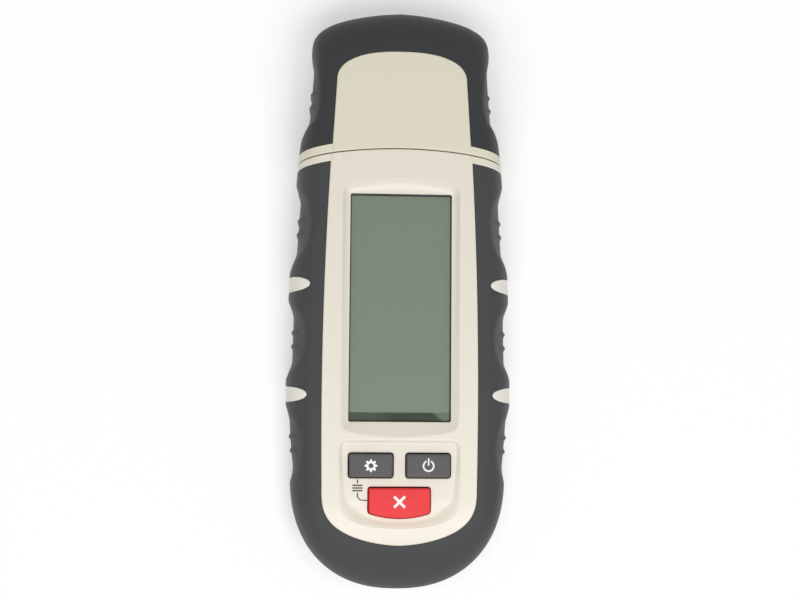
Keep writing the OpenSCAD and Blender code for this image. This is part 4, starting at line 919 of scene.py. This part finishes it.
cell_finish = moulded("display_glass_green", "#828f7e", 900.0, 0.4, 0.02, seen_glass, cloud=0.012,
                      Specular_IOR_Level=0.2)
tape_finish = moulded("black_foam_tape", "#1d201c", 1800.0, 0.6, 0.1, cloud=0.15)
lens_loop, lens_hole = window_frame(14.15, 31.75), window_frame(13.99, 31.59) - [0, 0.1]
tape_low, tape_high = 23.12, 23.28
tape_rings = np.stack([level(lens_loop, tape_low), level(lens_loop, tape_high), level(lens_hole, tape_high),
                       level(lens_hole, tape_low), level(lens_loop, tape_low)])
piece("lens_frame_tape", [sheet(tape_rings, around=True)], "meter", tape_finish, ["lens_tape"])
glass = prism(soft_loop(rectangle(15.2, 33.75, 0.6, 0, window_place), 1), soft_rows(19.72, 21.88, 0.15))
glass += prism(window_frame(13.93, 31.53) - [0, 0.1], soft_rows(21.7, 23.2, 0.06, 2))
piece("liquid_crystal_cell", glass, "meter", cell_finish, ["display_cell"])
lens_finish, shade, wire = finish_of("clear_lens", Roughness=0.08, IOR=1.49, Base_Color=(0.3, 0.32, 0.3, 1))
gloss, smear = shade.node("Fresnel", {"IOR": 1.49}), noise(shade, 40.0)
wire(Alpha=0.01 + 0.4 * gloss + 0.01 * smear, Roughness=0.06 + 0.06 * smear)
lens = prism(lens_loop, soft_rows(23.3, 24.5, 0.12, 3))
piece("window_lens", lens, "meter", lens_finish, ["display_lens"])

# Keys: two grey silicone keys and one red key, standing a little above the field. White signs are
# printed on them, and a carbon pill under each closes a contact on the board when it is pressed.
def inside_box(x, y, half_x, half_y):
    """1 inside a rectangle about the middle."""
    return abs(x).below(half_x) * abs(y).below(half_y)


def silicone(name, code, sign):
    """Moulded silicone with a white printed sign."""
    def ink(x, y, z, tone):
        """White where sign(x, y) is 1, on the top of the key only."""
        return (sign(x, y) * (0.0262 - z).below(0.0)).blend(tone, colour("#f4f2ee"))

    return moulded(name, code, 1500.0, 0.5, 0.08, ink, cloud=0.03, Specular_IOR_Level=0.25)


def gear_sign(x, y):
    """A small cog: a ring with eight teeth about a hole."""
    x, y = x + 0.0079, y + 0.0475
    far = from_middle(x, y)
    teeth = 0.0015 + 0.0003 * x.math("COSINE", 8.0 * x.math("ARCTAN2", y, x))
    return (far - teeth).below(0.0) * (0.00068 - far).below(0.0)


def power_sign(x, y):
    """A standby ring, open at the top, with an upright bar through the gap."""
    x, y = x - 0.0079, y + 0.0475
    far = from_middle(x, y)
    ring = abs(far - 0.0014).below(0.00022) * (1 - inside_box(x, y - 0.0015, 0.0006, 0.0012))
    return ring.most(inside_box(x, y - 0.0011, 0.0002, 0.0010))


def cross_sign(x, y):
    """A diagonal cross."""
    y = y + 0.0573
    u, v = (x + y) * 0.7071, (x - y) * 0.7071
    return inside_box(u, v, 0.0021, 0.00036).most(inside_box(v, u, 0.0021, 0.00036))


def key_patches(loop):
    """A key with a skirt at its foot, upright walls, a rounded edge and a faintly domed top."""
    rows = [(-0.8, 18.02), (-0.8, 19.0), (-0.6, 19.2), (0, 19.2)]
    rows += [(0.5 * (1 - np.cos(t)), 26.36 + 0.5 * np.sin(t)) for t in np.linspace(0, np.pi / 2, 7)]
    rings = stack(loop, rows)
    top = disc(rings[-1][:, :2], [(1, 26.86), (0.96, 26.868), (0.8, 26.885), (0.5, 26.9), (0, 26.9)])
    return [sheet(rings, around=True), top] + fill([rings[0]])


left_loop, right_loop = [key_loop(place) for place in key_places]
for name, body, loop, finish, code, sign, slot in (
        ("grey_key_left", "set_key", left_loop, "grey_silicone_left", "#565456", gear_sign, "key_grey"),
        ("grey_key_right", "mode_key", right_loop, "grey_silicone_right", "#565456", power_sign, "key_grey"),
        ("red_key", "clear_key", clear_loop(), "red_silicone", "#e6383b", cross_sign, "key_red")):
    piece(name, key_patches(loop), body, silicone(finish, code, sign), [body])

# Grips: charcoal thermoplastic rubber moulded over the shoulders of both cases. Three shallow finger
# hollows run down each side, with small grip lines in them and windows for the beige inlays.
rib_places = [place + way * 1.95 for place, _, _ in finger_hollows for way in (-1, 1)]
opening_depth, opening_half = 6.1, 2.2


def soft_rubber(name, code):
    """Charcoal rubber with a dull sheen."""
    return moulded(name, code, 2200.0, 0.62, 0.22, cloud=0.05,
                   Specular_IOR_Level=0.25, Sheen_Weight=0.1, Sheen_Roughness=0.5)


def tube(loops):
    """Closed loops in a row, with each end closed by rungs between its two halves."""
    points, faces = sheet(loops, around=True)
    count, around = loops.shape[:2]
    low = np.arange(around // 2 - 1)
    rungs = np.stack([low, low + 1, around - 2 - low, around - 1 - low], -1)
    return points, np.concatenate([faces, rungs, rungs + (count - 1) * around])


def roll_off(distance, radius):
    """Depth of a quarter-round edge: r - sqrt(r^2 - (r - d)^2) within r of the edge."""
    near = np.clip(radius - distance, 0, radius)
    return radius - np.sqrt(radius**2 - near**2)


def walk(points):
    """Distance along the last run of points, from its first."""
    steps = np.linalg.norm(np.diff(points, axis=-2), axis=-1)
    return np.concatenate([np.zeros_like(steps[..., :1]), np.cumsum(steps, -1)], -1)


def grip_skin(run, side, low, hollows, ribs, split=0.16):
    """Outer and inner walls of a grip at each station, from the parting plane or an inlay up to the panel.
    The outer wall rolls off at both edges and carries low ribs, 0.5 exp(-(d / 0.62)^2) high."""
    share = np.linspace(0, 1, 36)[1:-1] * 0.935 + 0.03
    share = np.concatenate([[0, 0.006, 0.014, 0.025], share, [0.972, 0.981, 0.988, 0.994, 0.998, 1.0]])
    phi = low[:, None] + (np.pi / 2 - low[:, None]) * share
    run = [np.repeat(v[:, None], len(share), 1) for v in run]
    far = walk(shoulder(run[0], run[1], side, edge_drop, phi))
    rib = np.sum([0.5 * np.exp(-((run[0][..., 1] - place) / 0.62) ** 2) for place in ribs], axis=0)
    rib = rib * (1 - ease((phi - 0.3) / 0.6))
    depth = roll_off(far, split) + roll_off(far[:, -1:] - far, 0.35) - rib
    return flank(run, side, depth, phi, hollows), flank(run, side, grip_depth, phi, hollows)


def inlay_edge(y):
    """Lower limit of the grip on the shoulder: the half-ellipse windows, and zero between them."""
    shares = []
    for place in inlay_places:
        top = inlay_share(y, place, opening_depth, opening_half)
        shares.append(np.where(np.abs(y - place) < opening_half, top, 0))
    return np.max(shares, axis=0)


def stations(low, high, rough):
    """Places down a side, closer together where the grip lines and the windows are."""
    near = [place + np.linspace(-1.7, 1.7, 21) for place in rib_places]
    bends = opening_half * np.sin(np.linspace(-np.pi / 2, np.pi / 2, 21))
    just_past = np.array([-1, 1]) * (opening_half + 0.004)
    near += [place + part for place in inlay_places for part in (bends, just_past)]
    every = np.unique(np.round(np.concatenate(near + [np.arange(low, high, rough), [low, high]]), 4))
    return every[(every >= low) & (every <= high)][::-1]


rubber = soft_rubber("charcoal_rubber", "#3e3f40")
grip_places = stations(hip, band_foot, 0.8)
grip_run = whole_run(body_side(grip_places), body_butt(np.linspace(0, np.pi / 2, 61)[1:]))
side_low = np.concatenate([inlay_edge(grip_places), np.zeros(60)])
grip_low = np.concatenate([side_low, side_low[-2::-1]])
for name, side in (("front_grip", 1), ("rear_grip", -1)):
    outer, inner = grip_skin(grip_run, side, grip_low, finger_hollows, rib_places)
    skin = [tube(np.concatenate([outer, inner[:, ::-1]], 1))]
    piece(name + "_overmould", skin, "meter", rubber, [name], sharp=50)

# Cap: the beige cover over the needles, one hollow moulding with its own charcoal grip around it.
# A band of bare plastic meets the body's band at the seam, and ribs inside it run along the neck.
cap_low, cap_start, cap_shoulder, tongue_end = 40.85, 43.2, 66.0, 60.0
shoulder_half, tongue_low, tongue_top = 25.8, 19.5, 18.4
cap_hollows, cap_ribs = [(57.5, 14.2, 1.75)], [54.3, 58.2]


def cap_run_at(yo, yp):
    """Outline, panel edge and inward direction: both half widths taper evenly away from the seam."""
    cap_half = seam_half - (seam_half - shoulder_half) * (yo - seam) / (cap_shoulder - seam)
    tongue_half = tongue_low - (tongue_low - tongue_top) * (yp - seam) / (tongue_end - seam)
    outline, panel = np.stack([cap_half, yo], -1), np.stack([tongue_half, yp], -1)
    return outline, panel, unit(panel - outline)


def cap_band(s):
    """The three on the bare band beside the seam."""
    return cap_run_at(s - seam_fall(seam_half), s - seam_fall(tongue_low))


def cap_side(t):
    """The three from the band (t = 0) to the cap's shoulder (t = 1)."""
    bow = 1 - ease(t * (cap_shoulder - cap_start) / 12)
    yo = cap_start + (cap_shoulder - cap_start) * t - bow * seam_fall(seam_half)
    yp = cap_start + (tongue_end - cap_start) * t - bow * seam_fall(tongue_low)
    return cap_run_at(yo, yp)


def cap_end(angle):
    """The three around the cap's end. The outline is a superellipse of power 5.3 whose top is arched:
    length x (0.71 w + 0.29 (1 - u^1.6)) over its unit sides u and w; the panel's end has power 2.4."""
    u, w = round_end(1, 1, 5.3, angle).T
    arched = cap_shoulder + 16.5 * (0.71 * w + 0.29 * (1 - u**1.6))
    outline = np.stack([shoulder_half * u, arched], -1)
    panel = round_end(tongue_top, 8.8, 2.4, angle) + [0, tongue_end]
    return outline, panel, unit(panel - outline)


def end_angles(count):
    """Angles around the cap's end, crowded towards both its sides."""
    t = np.linspace(0, 1, count)[1:]
    return np.pi / 4 * (1 + np.sign(2 * t - 1) * np.abs(2 * t - 1) ** 0.45)


cap_run = whole_run(cap_side(np.linspace(0, 1, 60)), cap_end(end_angles(91)))
cap_patches, cap_brims = [], []
for side in (1, -1):
    rim, core = panel_rim(cap_run, side), core_shoulder(cap_run, side, cap_hollows)
    rows, bend = band(cap_band, cap_start, cap_low, side)
    foot = core[:, 0][np.linspace(0, len(core) - 1, edge_column).astype(int)]
    cap_patches += [sheet(rim), sheet(core)] + band_flanks(rows, bend, foot)
    cap_patches += fill([panel_loop(rim, rows)], lift=lambda plan: at_face(plan, side))
    cap_brims.append(bend[-1])
hollow_sizes = [(cap_low, 24.8, 10.6), (45.0, 24.2, 10.2), (55.0, 22.57, 9.13), (65.0, 20.8, 7.95)]
hollow_sizes += [(73.6, 19.2, 6.9), (74.7, 18.8, 6.6), (75.3, 18.2, 6.1), (75.5, 17.4, 5.5)]
hollow = np.stack([level(rounded(x, z, 4.0), y) for y, x, z in hollow_sizes])[..., [0, 2, 1]] + [0, 0, middle]
hollow[0, :, 1] -= seam_fall(hollow[0, :, 0])
cap_lip = np.concatenate([cap_brims[0], cap_brims[1][-2:0:-1]])
cap_patches += [sheet(hollow, around=True)] + fill([hollow[-1]], axes=(0, 2))
cap_patches += fill([cap_lip, hollow[0]], axes=(0, 2), border=0.05,
                    lift=lambda plan: along_seam(plan, cap_low))
rib_rows = soft_rows(-0.7, 0.7, 0.15)
flat_rib = even_loop(np.array([[42.0, 8.3], [52.8, 8.3], [52.8, 9.9], [42.0, 11.2]]), 0.3)
flat_rib = prism(soft_loop(flat_rib, 1), rib_rows)
side_rib = even_loop(np.array([[21.3, 42.0], [21.3, 52.8], [23.4, 52.8], [25.2, 42.0]]), 0.3)[::-1]
side_rib = prism(soft_loop(side_rib, 1), rib_rows)
for way in (1, -1):
    for x in (-12.0, 12.0):
        cap_patches += turned(flat_rib, (2, 0, 1), (x, 0, middle), (1, 1, way))
    cap_patches += turned(side_rib, (0, 1, 2), (0, 0, middle), (way, 1, 1))
cap_finish = beige_plastic("moulded_beige_cap", "#ded9c5")
piece("cap_moulding", cap_patches, "cap", cap_finish, ["cap_shell"])
cap_grip_run = whole_run(cap_side(np.linspace(0, 1, 130)), cap_end(end_angles(61)))
cap_foot = np.zeros(len(cap_grip_run[0]))
walls = [grip_skin(cap_grip_run, side, cap_foot, cap_hollows, cap_ribs, split=0.0) for side in (1, -1)]
skin, lining = (np.concatenate([front[:, ::-1], back[:, 1:]], 1) for front, back in zip(*walls))
cap_skin = [tube(np.concatenate([skin, lining[:, ::-1]], 1))]
cap_rubber = soft_rubber("charcoal_rubber_cap", "#313234")
piece("cap_grip_overmould", cap_skin, "cap", cap_rubber, ["cap_grip"], sharp=50)

# Floor, light and camera: a white sheet of card, a soft lamp above and beyond the butt, and a camera
# almost straight above the meter, a little to the left and towards the butt, as in the photograph.
def seen_rays(shade):
    """1 for what the camera sees straight, in a reflection or through something clear."""
    path = shade.node("LightPath").socket.node
    names = ("Is Camera Ray", "Is Glossy Ray", "Is Transmission Ray")
    straight, mirror, clear = (Shade(shade.tree, path.outputs[name]) for name in names)
    return straight.most(mirror).most(clear)


def card_glow(shade):
    """How far the card is painted up towards white where it is seen: 0.36 beside the meter, rising with the
    distance d from a rounded rectangle, d = |max(|p| - core, 0)| - radius, over a reach that grows towards
    the cap. This is painted light away from the meter, and it leaves a painted darker halo close around it
    over the cast shadow."""
    x, y, _ = places(shade)
    side, end = (abs(x) - 0.0105).most(0.0), (y - 0.072).most(-0.062 - y).most(0.0)
    far = from_middle(side, end) - 0.02
    share = shade.math("DIVIDE", far, 0.0085 + 0.06 * y.least(0.2).most(-0.08)).most(0.0).least(1.0)
    return 0.36 + 0.56 * share


card, shade, wire = finish_of("white_card", Roughness=0.9)
wire(Base_Color=noise(shade, 8.0).blend((0.98, 0.98, 0.98, 1), (0.99, 0.99, 0.99, 1)))
lit = Shade(shade.tree, own_node(shade.tree, "BSDF_PRINCIPLED").outputs[0])
plain_white = shade.node("Emission", {"Color": (1, 1, 1, 1), "Strength": 1.0})
# Painted light and shade: the card is lifted towards white away from the meter and left darker close around
# it.
glow = card_glow(shade) * seen_rays(shade)
both = shade.node("MixShader", {0: glow, 1: lit, 2: plain_white})
shade.tree.links.new(both.socket, own_node(shade.tree, "OUTPUT_MATERIAL").inputs["Surface"])
floor_mesh = bpy.data.meshes.new("card_floor")
floor_corners = [(x, y, -0.0004) for x, y in ((-6, -6), (6, -6), (6, 6), (-6, 6))]
floor_mesh.from_pydata(floor_corners, [], [(0, 1, 2, 3)])
floor_mesh.materials.append(card)
placed("card_floor", floor_mesh)

world = bpy.data.worlds.new("studio")
world.use_nodes = True
bpy.context.scene.world = world
shade = Shade(world.node_tree)
background = own_node(shade.tree, "BACKGROUND")
background.inputs["Color"].default_value = (1, 1, 1, 1)
shade.tree.links.new((0.53 + 0.47 * seen_rays(shade)).socket, background.inputs["Strength"])

lamp_data = bpy.data.lights.new("soft_lamp", "AREA")
lamp_data.energy, lamp_data.shape, lamp_data.size, lamp_data.size_y = 1.62, "RECTANGLE", 0.4, 0.2
lamp = placed("soft_lamp", lamp_data)
lamp.location = (0.025, -0.22, 0.5)
lamp.rotation_euler = (Vector((0, 0, 0.01)) - Vector(lamp.location)).to_track_quat("-Z", "Y").to_euler()

camera_data = bpy.data.cameras.new("photo_camera")
camera_data.lens, camera_data.sensor_width, camera_data.clip_start = 54.77, 36.0, 0.01
camera = placed("photo_camera", camera_data)
eye, aim, roll = np.array([-0.020, -0.0293, 0.3618]), np.array([0.0005, -0.0007, 0.013]), np.radians(0.45)
ahead = unit(aim - eye)
right = unit(np.cross(ahead, [0, 1, 0]))
up = np.cross(right, ahead)
axes = [right * np.cos(roll) + up * np.sin(roll), up * np.cos(roll) - right * np.sin(roll), -ahead, eye]
camera.matrix_world = Matrix(np.vstack([np.stack(axes, -1), [0, 0, 0, 1]]).tolist())
bpy.context.scene.camera = camera
bpy.context.scene.view_settings.view_transform = "Standard"
